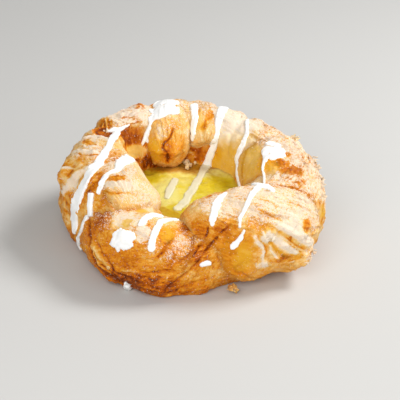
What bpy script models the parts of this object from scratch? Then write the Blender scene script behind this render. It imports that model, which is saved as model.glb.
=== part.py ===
"""Danish pastry: one ring of folded, laminated dough round a custard filling.

Sizes are in millimetres in this frame: +Z up, the table at z = 0, +X to the right and
-Y to the front. The dough is a single solid. Its ring is lofted through a few upright
sections, the folds that overlap on it are swollen, bent ellipsoids, and a bed closes the
ring's hole from below. Everything reaches under z = 0 and is cut off flat there.
The custard fills the bed up to its level and keeps a small gap to the dough all round.
"""

from dataclasses import dataclass, replace

import bmesh
import bpy
import numpy as np
from mathutils import Matrix, Vector

MM = 0.001

# Driving dimensions, in millimetres
RECENTRE = (-0.45, -3.75)  # moves the middle of the whole pastry's box to the origin
RING_STEPS = 84  # sections round the ring, after interpolation
SECTION_STEPS = 26  # points round one section
SECTION_SQUARENESS = 2.25  # 2 is an ellipse, more is squarer
FOLD_SQUARENESS = 2.3
FOLD_SEGMENTS = 30
FOLD_RINGS = 18
SINK = 3.0  # how far the dough reaches under the table before it is cut flat
CREASE_DEPTH = 2.2
CREASE_HALF_ANGLE = 6.0  # degrees

BED_RADIUS = 34.0
BED_TOP = 10.0
CUSTARD_RADIUS = 32.0
CUSTARD_LEVEL = 22.0  # at the dough
CUSTARD_CROWN = 1.8  # how much higher the middle is
CUSTARD_PROFILE_STEPS = 7
CUSTARD_TURN_STEPS = 56
GAP = 0.3  # between the custard and the dough

TABLE_CUTTER = (200.0, 200.0, 40.0)


@dataclass(frozen=True)
class Section:
    """An upright section of the ring: radii from the ring's axis, and heights."""

    angle: float  # degrees round the axis, 0 at +X and 90 at the back
    outer: float  # radius of the outer wall
    core: float  # radius under the crest
    inner: float  # radius of the hole's wall
    crest: float  # height of the top
    waist: float  # height at which the section is widest


@dataclass(frozen=True)
class Fold:
    """A swollen fold: an ellipsoid with its long axis turned by yaw and raised by pitch."""

    name: str
    centre: tuple
    radii: tuple
    yaw: float
    pitch: float = 0.0
    bend: float = 0.0  # sideways sag of both ends


SECTIONS = (
    Section(angle=0, outer=58.5, core=41, inner=21, crest=41, waist=19),
    Section(angle=45, outer=57.5, core=43, inner=26, crest=44, waist=20),
    Section(angle=90, outer=57.5, core=45, inner=31, crest=46.5, waist=20),
    Section(angle=135, outer=59, core=46, inner=30, crest=45.5, waist=20),
    Section(angle=180, outer=58, core=40, inner=22, crest=43, waist=19),
    Section(angle=215, outer=51, core=37, inner=23, crest=36, waist=17),
    Section(angle=255, outer=49, core=35, inner=21, crest=25, waist=14),
    Section(angle=300, outer=43, core=30, inner=16, crest=32, waist=16),
    Section(angle=330, outer=46, core=34, inner=20, crest=38, waist=18),
)

CREASES = (12, 38, 62, 118, 150, 162, 174, 193)  # degrees, where the outer wall is nipped in

FOLDS = (
    Fold("fold_front_right", centre=(26, -24, 20.5), radii=(31, 16, 20), yaw=20, pitch=2, bend=4),
    Fold("fold_front_left", centre=(-21, -29, 15), radii=(29, 18.5, 17), yaw=-30, bend=4),
    Fold("fold_left_inner", centre=(-32, -9, 25), radii=(24, 13, 16), yaw=108),
    Fold("fold_right", centre=(36, 10, 24), radii=(30, 16, 19), yaw=104, pitch=3),
    Fold("fold_hood", centre=(-31, 32, 37), radii=(17, 9, 7.5), yaw=38),
    Fold("fold_back_left", centre=(-13, 32.5, 34.5), radii=(18, 10, 10.5), yaw=-88, pitch=-30),
    Fold("fold_back", centre=(3, 41, 35), radii=(13, 8.5, 11), yaw=-84, pitch=-32),
)


def clear_scene():
    """Start from an empty scene."""
    for item in list(bpy.data.objects):
        bpy.data.objects.remove(item, do_unlink=True)


def make_collection(name, hidden=False):
    collection = bpy.data.collections.new(name)
    collection.hide_render = hidden
    bpy.context.scene.collection.children.link(collection)
    return collection


def make_material(name, colour, roughness):
    material = bpy.data.materials.new(name)
    material.use_nodes = True
    shader = material.node_tree.nodes["Principled BSDF"]
    shader.inputs["Base Color"].default_value = (*colour, 1.0)
    shader.inputs["Roughness"].default_value = roughness
    shader.inputs["Metallic"].default_value = 0.0
    return material


def add_object(name, mesh, collection, cutter=False):
    item = bpy.data.objects.new(name, mesh)
    collection.objects.link(item)
    if cutter:
        item.hide_render = True
        item.display_type = "WIRE"
    return item


def signed_power(values, power):
    return np.sign(values) * np.abs(values) ** power


def smooth_round(angles, keys, at):
    """Cubic curve through keys that repeats every 360 degrees, read at the angles in at."""
    keys = np.asarray(keys, float)
    knots = np.asarray(angles, float)
    knots = np.concatenate([knots[-2:] - 360.0, knots, knots[:3] + 360.0])
    values = np.concatenate([keys[-2:], keys, keys[:3]])
    slopes = np.zeros_like(values)
    slopes[1:-1] = (values[2:] - values[:-2]) / (knots[2:] - knots[:-2])
    place = np.searchsorted(knots, at, side="right") - 1
    span = knots[place + 1] - knots[place]
    t = (at - knots[place]) / span
    start, end = values[place], values[place + 1]
    rise = slopes[place] * span
    fall = slopes[place + 1] * span
    blend = t * t * (3 - 2 * t)
    return start + (end - start) * blend + rise * t * (1 - t) ** 2 - fall * t * t * (1 - t)


def crease_profile(angle):
    """1 at the middle of a crease and 0 away from it."""
    nearest = np.full_like(angle, 360.0)
    for crease in CREASES:
        away = np.abs((angle - crease + 180.0) % 360.0 - 180.0)
        nearest = np.minimum(nearest, away)
    return np.exp(-(nearest / (0.5 * CREASE_HALF_ANGLE)) ** 2)


def ring_points(grow):
    """Points of the ring, grown by a margin: sections round the axis, points round each."""
    u = np.arange(RING_STEPS) * 360.0 / RING_STEPS
    v = np.arange(SECTION_STEPS) * 2 * np.pi / SECTION_STEPS
    angles = [section.angle for section in SECTIONS]
    outer, core, inner, crest, waist = (
        smooth_round(angles, [getattr(section, field) for section in SECTIONS], u)[:, None]
        for field in ("outer", "core", "inner", "crest", "waist")
    )
    nip = CREASE_DEPTH * crease_profile(u)[:, None]
    outward = signed_power(np.cos(v), 2 / SECTION_SQUARENESS)[None, :]
    upward = signed_power(np.sin(v), 2 / SECTION_SQUARENESS)[None, :]
    reach = np.where(outward > 0, outer - nip + grow - core, core - inner + grow)
    radius = core + reach * outward
    height = waist + np.where(upward > 0, crest - 0.5 * nip + grow - waist, waist + SINK + grow) * upward
    turn = np.radians(u)[:, None]
    return np.stack([radius * np.cos(turn), radius * np.sin(turn), height], axis=-1)


def ring_mesh(name, grow=0.0):
    """Loft the ring through its unlike sections, as one closed loop of loops."""
    grid = ring_points(grow)
    rows, columns = grid.shape[:2]
    index = np.arange(rows * columns).reshape(rows, columns)
    next_row = np.roll(index, -1, axis=0)
    next_column = np.roll(index, -1, axis=1)
    corner = np.roll(next_row, -1, axis=1)
    faces = np.stack([index, next_row, corner, next_column], axis=-1).reshape(-1, 4)
    mesh = bpy.data.meshes.new(name)
    mesh.from_pydata((grid.reshape(-1, 3) * MM).tolist(), [], faces.tolist())
    mesh.transform(Matrix.Translation(Vector((*RECENTRE, 0)) * MM))
    mesh.shade_smooth()
    return mesh


def fold_mesh(fold, grow=0.0):
    """A sphere pushed out to a squarer form, stretched to the fold's radii and bent."""
    form = bmesh.new()
    bmesh.ops.create_uvsphere(form, u_segments=FOLD_SEGMENTS, v_segments=FOLD_RINGS, radius=1.0)
    half_length, half_width, half_height = (radius + grow for radius in fold.radii)
    for vertex in form.verts:
        # the sphere's poles lie along the fold's long axis
        along, across, up = vertex.co.z, vertex.co.x, vertex.co.y
        norm = sum(abs(value) ** FOLD_SQUARENESS for value in (along, across, up))
        scale = norm ** (-1 / FOLD_SQUARENESS)
        along, across, up = along * scale, across * scale, up * scale
        sideways = across * half_width + fold.bend * along * along
        vertex.co = Vector((along * half_length, sideways, up * half_height))
    turn = Matrix.Rotation(np.radians(fold.yaw), 4, "Z")
    tip = Matrix.Rotation(-np.radians(fold.pitch), 4, "Y")
    place = Matrix.Translation(Vector(fold.centre) + Vector((*RECENTRE, 0)))
    form.transform(Matrix.Scale(MM, 4) @ place @ turn @ tip)
    mesh = bpy.data.meshes.new(fold.name)
    form.to_mesh(mesh)
    form.free()
    mesh.shade_smooth()
    return mesh


def bed_mesh():
    """The flat dough under the filling."""
    form = bmesh.new()
    depth = BED_TOP + SINK
    bmesh.ops.create_cone(
        form, cap_ends=True, segments=48, radius1=BED_RADIUS, radius2=BED_RADIUS, depth=depth
    )
    middle = Vector((*RECENTRE, 0.5 * (BED_TOP - SINK)))
    form.transform(Matrix.Scale(MM, 4) @ Matrix.Translation(middle))
    mesh = bpy.data.meshes.new("bed")
    form.to_mesh(mesh)
    form.free()
    return mesh


def table_mesh():
    """The space under the table, which cuts the dough off flat."""
    form = bmesh.new()
    bmesh.ops.create_cube(form, size=1.0)
    form.transform(
        Matrix.Scale(MM, 4)
        @ Matrix.Translation(Vector((0, 0, -0.5 * TABLE_CUTTER[2])))
        @ Matrix.Diagonal((*TABLE_CUTTER, 1.0))
    )
    mesh = bpy.data.meshes.new("table")
    form.to_mesh(mesh)
    form.free()
    return mesh


def custard_profile():
    """Half outline of the filling, from the crowned middle out to the rim and down to the bed."""
    radii = np.linspace(0.0, CUSTARD_RADIUS, CUSTARD_PROFILE_STEPS)
    heights = CUSTARD_LEVEL + CUSTARD_CROWN * (1 - (radii / CUSTARD_RADIUS) ** 2)
    floor = BED_TOP + GAP
    outline = list(zip(radii, heights))
    return outline + [(CUSTARD_RADIUS, floor), (0.0, floor)]


def custard_mesh():
    outline = custard_profile()
    points = [(radius * MM, 0.0, height * MM) for radius, height in outline]
    edges = [(start, start + 1) for start in range(len(points) - 1)]
    mesh = bpy.data.meshes.new("custard_filling")
    mesh.from_pydata(points, edges, [])
    return mesh


def add_boolean(item, operation, other):
    modifier = item.modifiers.new(f"{operation.lower()}_{other.name}", "BOOLEAN")
    modifier.operation = operation
    modifier.solver = "EXACT"
    modifier.object = other


def build_dough(parts, cutters):
    """One solid: the ring, its folds and the bed, cut off flat at the table."""
    dough = add_object("dough", ring_mesh("dough"), parts)
    dough.data.materials.append(make_material("browned_dough", (0.72, 0.42, 0.16), 0.6))
    for fold in FOLDS:
        swelling = add_object(fold.name, fold_mesh(fold), cutters, cutter=True)
        add_boolean(dough, "UNION", swelling)
    add_boolean(dough, "UNION", add_object("bed", bed_mesh(), cutters, cutter=True))
    add_boolean(dough, "DIFFERENCE", add_object("table", table_mesh(), cutters, cutter=True))
    return dough


def build_custard(parts, cutters):
    """The filling: a turned, crowned disc, less the dough grown by the gap."""
    custard = add_object("custard_filling", custard_mesh(), parts)
    custard.location = Vector((*RECENTRE, 0)) * MM
    custard.data.materials.append(make_material("custard", (0.85, 0.66, 0.14), 0.25))
    turned = custard.modifiers.new("turned", "SCREW")
    turned.axis = "Z"
    turned.steps = CUSTARD_TURN_STEPS
    turned.render_steps = CUSTARD_TURN_STEPS
    turned.use_merge_vertices = True
    turned.merge_threshold = 0.00001
    wall = add_object("ring_grown", ring_mesh("ring_grown", GAP), cutters, cutter=True)
    add_boolean(custard, "DIFFERENCE", wall)
    for fold in FOLDS:
        grown = replace(fold, name=fold.name + "_grown")
        swelling = add_object(grown.name, fold_mesh(grown, GAP), cutters, cutter=True)
        add_boolean(custard, "DIFFERENCE", swelling)
    return custard


def main():
    clear_scene()
    parts = make_collection("danish_pastry")
    cutters = make_collection("cutters", hidden=True)
    build_dough(parts, cutters)
    build_custard(parts, cutters)


main()
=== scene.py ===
"""Looks of a danish pastry: a ring of folded, laminated dough round a custard filling.

Every dough piece is a surface of two parameters with its own relief, worked out in
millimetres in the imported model's frame: +Z up, the table at z = 0, +X to the right and
-Y to the front, with the hole's axis at x = y = 0 until the piece is placed. Browning,
sugar, soaked custard and cracks are point attributes that the finishes read. The icing
is a skin that rises out of the dough and the custard along each drizzled line.
"""

import logging
import math
from dataclasses import dataclass, field, fields
from typing import Any, Callable, Sequence

import bpy
import numpy as np
from mathutils import Matrix, Vector


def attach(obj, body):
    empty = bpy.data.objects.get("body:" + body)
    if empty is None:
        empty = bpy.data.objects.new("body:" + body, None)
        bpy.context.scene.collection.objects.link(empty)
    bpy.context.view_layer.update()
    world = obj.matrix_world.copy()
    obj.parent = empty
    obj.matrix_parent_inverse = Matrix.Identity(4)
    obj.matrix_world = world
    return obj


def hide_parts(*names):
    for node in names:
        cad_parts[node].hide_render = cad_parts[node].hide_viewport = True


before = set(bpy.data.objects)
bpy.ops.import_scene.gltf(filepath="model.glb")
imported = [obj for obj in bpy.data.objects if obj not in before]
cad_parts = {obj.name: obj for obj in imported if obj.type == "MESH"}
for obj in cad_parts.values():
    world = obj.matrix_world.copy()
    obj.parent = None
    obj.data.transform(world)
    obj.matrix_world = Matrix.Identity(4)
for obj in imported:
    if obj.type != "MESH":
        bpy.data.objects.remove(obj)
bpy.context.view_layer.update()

LOG = logging.getLogger("danish_pastry")

Array = np.ndarray
Point = tuple[float, float, float]
Looks = dict[str, Array]
Object = bpy.types.Object
Material = bpy.types.Material
Socket = bpy.types.NodeSocket

MM = 0.001
TURN = 2 * math.pi
RECENTRE = np.array((-0.45, -3.75, 0.0))  # from the hole's axis to the middle of the box
SINK = 3.0  # the forms reach this far under the table and are flattened there
BED_RADIUS, BED_TOP = 34.0, 10.0
CUSTARD_RADIUS, CUSTARD_LEVEL, CUSTARD_CROWN = 33.0, 22.0, 1.6
ALONG_NORMAL = 0.3  # how much a path's distance along a skin's normal counts
FAR = 99.0  # a gap or a reach with nothing near
FREE_GAP, FREE_HEIGHT = 0.3, 1.0  # loose bits keep this far from other pieces and the table
HASH_X, HASH_Y, HASH_Z, HASH_LAST = (
    np.uint32(number) for number in (374761393, 668265263, 2246822519, 3266489917)
)
HASH_SEED = 326648991
BURIED = 2.0  # icing deeper than this inside another piece is left out
ICING_STEP = 0.32  # between the icing's points
ICING_ROOT = 0.8  # how far the icing's underside lies in the dough
ICING_LOW, ICING_EDGE = -0.5, -0.45  # the icing's lowest rise, and what is left out under it
PLATE_TOP, PLATE_BOTTOM = 0.3, 0.1  # the lowest a thin plate's two sides come to the table
TUFT_LOW = 0.6  # the lowest a tuft's middle comes to the table


# ---- numbers


def signed_power(values: Array, power: float) -> Array:
    """Raise to a power and keep the sign."""
    return np.sign(values) * np.abs(values) ** power


def power_norm(power: float, *parts: Array) -> Array:
    """The power's root of the sum of the parts' powers: 1 on a squared oval."""
    return sum(np.abs(part) ** power for part in parts) ** (1 / power)


def ease(low: float, high: float, values: Array) -> Array:
    """Smooth step: 0 at low, 1 at high, with level ends. low may be above high."""
    t = np.clip((values - low) / (high - low), 0.0, 1.0)
    return t * t * (3 - 2 * t)


def bell(values: Array, width: float) -> Array:
    """1 at 0, falling to both sides as exp(-(values / width) squared)."""
    return np.exp(-((values / width) ** 2))


def length(vectors: Array) -> Array:
    """Lengths of vectors on the last axis."""
    return np.sqrt((vectors * vectors).sum(axis=-1))


def unit(vectors: Array) -> Array:
    """Vectors of length 1."""
    return vectors / (length(vectors)[..., None] + 1e-12)


def off_axis(points: Array) -> Array:
    """Distance from the hole's axis."""
    return np.hypot(points[..., 0], points[..., 1])


def outward(points: Array, normals: Array) -> Array:
    """How far normals face away from the hole's axis, from -1 to 1."""
    return (normals[..., :2] * unit(points[..., :2])).sum(axis=-1)


def lifted(points: Array, height: float | Array) -> Array:
    """The same points, raised to at least a height."""
    points[..., 2] = np.maximum(points[..., 2], height)
    return points


def turned(radius: Array, angle: Array, height: Array) -> Array:
    """Points at a radius and an angle round the hole's axis, and a height."""
    x, y = radius * np.cos(angle), radius * np.sin(angle)
    return np.stack([x, y, height + 0 * x], axis=-1)


def round_curve(angles: Array, keys: Array, at: Array) -> Array:
    """Cubic curve through keys that repeats every 360 degrees.

    Args:
        angles: where the keys stand, in degrees, rising from 0.
        keys: the values there.
        at: angles to read, in degrees.

    Returns:
        The values at those angles.
    """
    at = at % 360.0
    knots = np.concatenate([angles[-2:] - 360.0, angles, angles[:3] + 360.0])
    values = np.concatenate([keys[-2:], keys, keys[:3]])
    slopes = np.zeros_like(values)
    slopes[1:-1] = (values[2:] - values[:-2]) / (knots[2:] - knots[:-2])
    place = np.searchsorted(knots, at, side="right") - 1
    span = knots[place + 1] - knots[place]
    t = (at - knots[place]) / span
    start, end = values[place], values[place + 1]
    rise = slopes[place] * span * t * (1 - t) ** 2
    fall = slopes[place + 1] * span * t * t * (1 - t)
    return start + (end - start) * (t * t * (3 - 2 * t)) + rise - fall


@dataclass(frozen=True)
class Noise:
    """Smooth random field in space, from random slopes at the corners of a cubic lattice."""

    seed: int
    gain: float = 1.6
    origin: float = 4096.0  # keeps the lattice's numbers above 0

    def hashed(self, x: Array, y: Array, z: Array) -> Array:
        """Random whole numbers of 32 bits, one for each lattice corner."""
        mixed = x * HASH_X + y * HASH_Y + z * HASH_Z + np.uint32(self.seed * HASH_SEED % 2**32)
        mixed = (mixed ^ (mixed >> np.uint32(15))) * HASH_Z
        mixed = (mixed ^ (mixed >> np.uint32(13))) * HASH_LAST
        return mixed ^ (mixed >> np.uint32(16))

    def at(self, points: Array, size: float) -> Array:
        """The field at points.

        Args:
            points: places, with the coordinates on the last axis.
            size: the lattice's pitch, in the same unit.

        Returns:
            One value for each point, mostly from -1 to 1.
        """
        scaled = points / size + self.origin
        cell = np.floor(scaled)
        inside = scaled - cell
        cell = cell.astype(np.uint32)
        weight = inside**3 * (inside * (inside * 6 - 15) + 10)
        total = np.zeros(points.shape[:-1])
        for corner in np.ndindex(2, 2, 2):
            mixed = self.hashed(*(cell[..., axis] + np.uint32(corner[axis]) for axis in range(3)))
            share, slope = 1.0, 0.0
            for axis, far in enumerate(corner):
                near = weight[..., axis]
                share = share * (near if far else 1 - near)
                part = ((mixed >> np.uint32(10 * axis)) & np.uint32(1023)) / 511.5 - 1.0
                slope = slope + part * (inside[..., axis] - far)
            total += share * slope
        return total * self.gain

    def blend(self, points: Array, *parts: tuple[float, float]) -> Array:
        """Sum of the field at several sizes, given as pairs of a weight and a size."""
        return sum(weight * self.at(points, size) for weight, size in parts)


LUMPS, GRAIN, WANDER, PATCHY, FLAKED = (Noise(seed) for seed in (3, 11, 23, 37, 51))


def way_along(points: Array, path: Array, normals: Array) -> tuple[Array, Array]:
    """Distance from points to a path of straight runs, and how far along it they lie.

    What a point lies off the path along its own normal counts for less, so a path drawn
    a little over or under a skin still marks it.

    Args:
        points: places, shape (..., 3).
        path: the path's corners, shape (corners, 3).
        normals: unit normals at the points.

    Returns:
        The distances, and the place along the path as a corner's number and a fraction.
    """
    nearest = np.full(points.shape[:-1], np.inf)
    along = np.zeros(points.shape[:-1])
    for number, (start, end) in enumerate(zip(path[:-1], path[1:])):
        run = end - start
        t = np.clip(((points - start) @ run) / max(run @ run, 1e-9), 0.0, 1.0)
        away = points - start - t[..., None] * run
        off = (away * normals).sum(axis=-1)
        squared = (away * away).sum(axis=-1) - (1 - ALONG_NORMAL**2) * off * off
        distance = np.sqrt(np.maximum(squared, 0))
        closer = distance < nearest
        nearest = np.where(closer, distance, nearest)
        along = np.where(closer, number + t, along)
    return nearest, along


# ---- marks on the dough


@dataclass(frozen=True)
class Pull:
    """A place where a form is drawn out or pressed in, fading over its reach."""

    at: Point
    reach: float
    by: Point

    def moved(self, points: Array) -> Array:
        """Points moved by the pull, times exp(-(distance / reach) squared)."""
        away = length(points - np.array(self.at)) / self.reach
        return points + np.exp(-away * away)[..., None] * np.array(self.by)


@dataclass(frozen=True)
class Mark:
    """What one spot or line changes on the skin: its height in millimetres and its looks."""

    height: float = 0.0
    bake: float = 0.0
    sugar: float = 0.0
    soak: float = 0.0
    crack: float = 0.0
    soft: float = 0.0


@dataclass(frozen=True)
class Spot:
    """A patch round a point. Its edge is irregular."""

    at: Point
    size: float | Point
    mark: Mark
    on: tuple[str, ...] = ()  # the pieces it lies on; any piece if none is named

    def away(self, points: Array) -> Array:
        """Distance from the patch's middle as a share of its size."""
        return length((points - np.array(self.at)) / np.array(self.size))

    def near(self, points: Array) -> Array:
        """Which points the patch may reach."""
        return self.away(points) < 1.8

    def share(self, points: Array, normals: Array) -> Array:
        """1 inside the patch and 0 outside, with a soft, uneven edge."""
        uneven = 0.28 * WANDER.blend(points, (1.0, 3.1), (0.5, 1.3))
        return ease(1.35, 0.55, self.away(points) + uneven)


@dataclass(frozen=True)
class Line:
    """A crack, ridge or edge along a path on the skin."""

    path: tuple[Point, ...]
    width: float
    mark: Mark
    on: tuple[str, ...] = ()
    count: int = 1
    step: Point = (0, 0, 0)  # from each of the count repeats to the next
    stray: float = 1.0  # how far the line wanders
    spaced: float = 41.0  # between the places where the repeats read their noise

    @property
    def paths(self) -> Array:
        """The path and its repeats, each a step further, shape (count, corners, 3)."""
        moves = np.arange(self.count)[:, None, None] * np.array(self.step, float)
        return np.array(self.path, float) + moves

    def near(self, points: Array) -> Array:
        """Which points lie in the paths' box, with a margin."""
        corners = self.paths.reshape(-1, 3)
        margin = 3 * self.width + 3
        low, high = corners.min(axis=0) - margin, corners.max(axis=0) + margin
        return ((points > low) & (points < high)).all(axis=-1)

    def share(self, points: Array, normals: Array) -> Array:
        """How far the points belong to the line, which wanders, tapers and fades in places.

        Args:
            points: places near the paths, shape (..., 3).
            normals: unit normals at the points.

        Returns:
            1 on a path, falling to 0 off it as a bell.
        """
        total = np.zeros(points.shape[:-1])
        for number, path in enumerate(self.paths):
            other = points + self.spaced * number
            shift = self.stray * WANDER.blend(other, (0.9, 6.0), (0.4, 2.0))
            away, along = way_along(points + shift[..., None], path, normals)
            last = len(path) - 1
            taper = ease(0.0, 0.35, along) * ease(last, last - 0.35, along)
            weak = 0.55 + 0.45 * ease(-0.4, 0.3, PATCHY.at(other, 4.0))
            total = np.maximum(total, bell(away, self.width) * (0.2 + 0.8 * taper) * weak)
        return total


# ---- meshes


@dataclass
class Skin:
    """A grid of points over a form: rows run along the piece and columns round it."""

    base: Array
    normals: Array
    coarse: Array
    fine: Array
    looks: Looks
    gap: Array
    floor_height: float

    @property
    def points(self) -> Array:
        """The finished surface: the form moved along its normals, flat on the table."""
        relief = (self.coarse + self.fine)[..., None]
        return lifted(self.base + self.normals * relief, self.floor_height)


def grid_quads(index: Array) -> Array:
    """Four-cornered faces of a grid of vertex numbers, facing along x around."""
    quads = np.stack([index[:-1, :-1], index[1:, :-1], index[1:, 1:], index[:-1, 1:]], axis=-1)
    return quads.reshape(-1, 4)


def closed_faces(rows: int, columns: int, ring: bool = False) -> Array:
    """Faces of a grid that closes round its columns.

    Args:
        rows: the grid's rows.
        columns: the grid's columns.
        ring: whether the last row meets the first; if not, each of them is one pole.

    Returns:
        Squares of a ring, or the triangles that are left with all squares cut in two.
    """
    index = np.arange(rows * columns).reshape(rows, columns)
    if ring:
        index[-1] = index[0]
    else:
        index[0], index[-1] = index[0, 0], index[-1, 0]
    faces = grid_quads(np.concatenate([index, index[:, :1]], axis=1))
    if ring:
        return faces
    faces = np.concatenate([faces[:, [0, 1, 2]], faces[:, [0, 2, 3]]])
    ordered = np.sort(faces, axis=1)
    return faces[(ordered[:, 0] != ordered[:, 1]) & (ordered[:, 1] != ordered[:, 2])]


def shell(top: Array, bottom: Array, keep: Array) -> tuple[Array, Array]:
    """A closed plate between two grids, made of the quads that are kept.

    Args:
        top: the upper grid, shape (rows, columns, 3).
        bottom: the lower grid, of the same shape.
        keep: which quads to keep, shape (rows - 1, columns - 1).

    Returns:
        Points and four-cornered faces: the top, the bottom and a wall round every edge.
    """
    count = top.shape[0] * top.shape[1]
    upper = grid_quads(np.arange(count).reshape(top.shape[:2]))[keep.ravel()]
    starts, ends = upper.ravel(), np.roll(upper, -1, axis=1).ravel()
    border = ~np.isin(ends * count + starts, starts * count + ends)
    starts, ends = starts[border], ends[border]
    walls = np.stack([starts, starts + count, ends + count, ends], axis=-1)
    faces = np.concatenate([upper, upper[:, ::-1] + count, walls])
    return np.concatenate([top.reshape(-1, 3), bottom.reshape(-1, 3)]), faces


def linked(name: str, data: Any) -> Object:
    """An object of the data, linked to the scene."""
    item = bpy.data.objects.new(name, data)
    bpy.context.scene.collection.objects.link(item)
    return item


def new_object(name: str, points: Array, faces: Array, looks: Looks | None = None) -> Object:
    """Make an object of a mesh, with its place in its vertices, which are only those used.

    Args:
        name: the piece's name.
        points: vertices in millimetres from the hole's axis, shape (..., 3).
        faces: vertex numbers, shape (faces, corners).
        looks: point attributes by name.

    Returns:
        The object, linked to the scene.
    """
    mesh = bpy.data.meshes.new(name)
    kept, numbers = np.unique(faces, return_inverse=True)
    placed = (points.reshape(-1, 3)[kept] + RECENTRE) * MM
    mesh.vertices.add(len(kept))
    mesh.vertices.foreach_set("co", placed.astype(np.float32).ravel())
    mesh.loops.add(faces.size)
    mesh.loops.foreach_set("vertex_index", numbers.astype(np.int32).ravel())
    mesh.polygons.add(len(faces))
    starts = np.arange(0, faces.size, faces.shape[1], dtype=np.int32)
    mesh.polygons.foreach_set("loop_start", starts)
    mesh.update(calc_edges=True)
    mesh.shade_smooth()
    for look, values in (looks or {}).items():
        attribute = mesh.attributes.new(look, "FLOAT", "POINT")
        attribute.data.foreach_set("value", values.ravel()[kept].astype(np.float32))
    return linked(name, mesh)


def repeated(faces: Array, count: int, size: int) -> Array:
    """Faces of one small piece with a number of points, for many such pieces in a row."""
    return (faces[None] + size * np.arange(count)[:, None, None]).reshape(-1, faces.shape[1])


# ---- dough


@dataclass(frozen=True)
class Layers:
    """Edges of the dough's layers, which step the skin like thin, ragged shingles."""

    pitch: float
    depth: float
    wander: float = 0.7  # how far the edges stray, in pitches
    lip: float = 0.84  # where in a pitch the drop starts

    def steps(self, across: Array, points: Array) -> tuple[Array, Array]:
        """Height of the shingles, and where their edges are.

        The height rises slowly over one pitch and drops sharply after the lip. The phase
        wanders with the noise, and each shingle has a random share of the depth.

        Args:
            across: place across the layers, in millimetres.
            points: places in space, for the noise.

        Returns:
            The height in millimetres, and the edge from 0 to 1.
        """
        stray = WANDER.blend(points, (1.0, 13.0), (0.4, 4.5), (0.16, 1.6))
        phase = across / self.pitch + self.wander * stray
        whole = np.floor(phase)
        place = phase - whole
        number = whole.astype(np.int64).astype(np.uint32)
        share = 0.35 + 0.65 * (WANDER.hashed(number, number, number) & np.uint32(255)) / 255
        share = share * ease(-0.35, 0.25, PATCHY.at(points, 9.0))
        ramp = np.where(place < self.lip, place / self.lip, (1 - place) / (1 - self.lip))
        return self.depth * share * ramp, bell(place - 0.5 * (1 + self.lip), 0.08) * share


@dataclass(frozen=True)
class Terraces:
    """Crust flaked off to different layers: a stepped noise, long along the grain."""

    size: float = 1.7
    depth: float = 0.3
    steep: float = 0.22  # the share of a level that its rise takes up
    levels: float = 1.5  # in one unit of the noise

    def steps(self, grain: Array, points: Array) -> tuple[Array, Array, Array]:
        """Height of the layer that shows, and its broken edges.

        A smooth noise is cut into levels. Each level slopes a little and rises steeply to
        the next, so its edge is a ragged contour.

        Args:
            grain: wrinkle coordinates.
            points: places in space.

        Returns:
            The height in millimetres, the foot of each edge and its lip, from 0 to 1.
        """
        smooth = 1.5 * FLAKED.at(grain, self.size) + 0.9 * FLAKED.at(points, 5.0)
        smooth = smooth + 0.3 * FLAKED.at(points, 2.0) + 0.1 * FLAKED.at(points, 0.9)
        level = np.floor(smooth * self.levels)
        place = smooth * self.levels - level
        rise = ease(1 - self.steep, 1.0, place)
        lip = bell(place, 0.16) + bell(place - 1, 0.05)
        foot = bell(place - 1 + 1.1 * self.steep, 0.09)
        return self.depth * (level + 0.3 * place + 0.7 * rise), foot, np.minimum(lip, 1)


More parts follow.
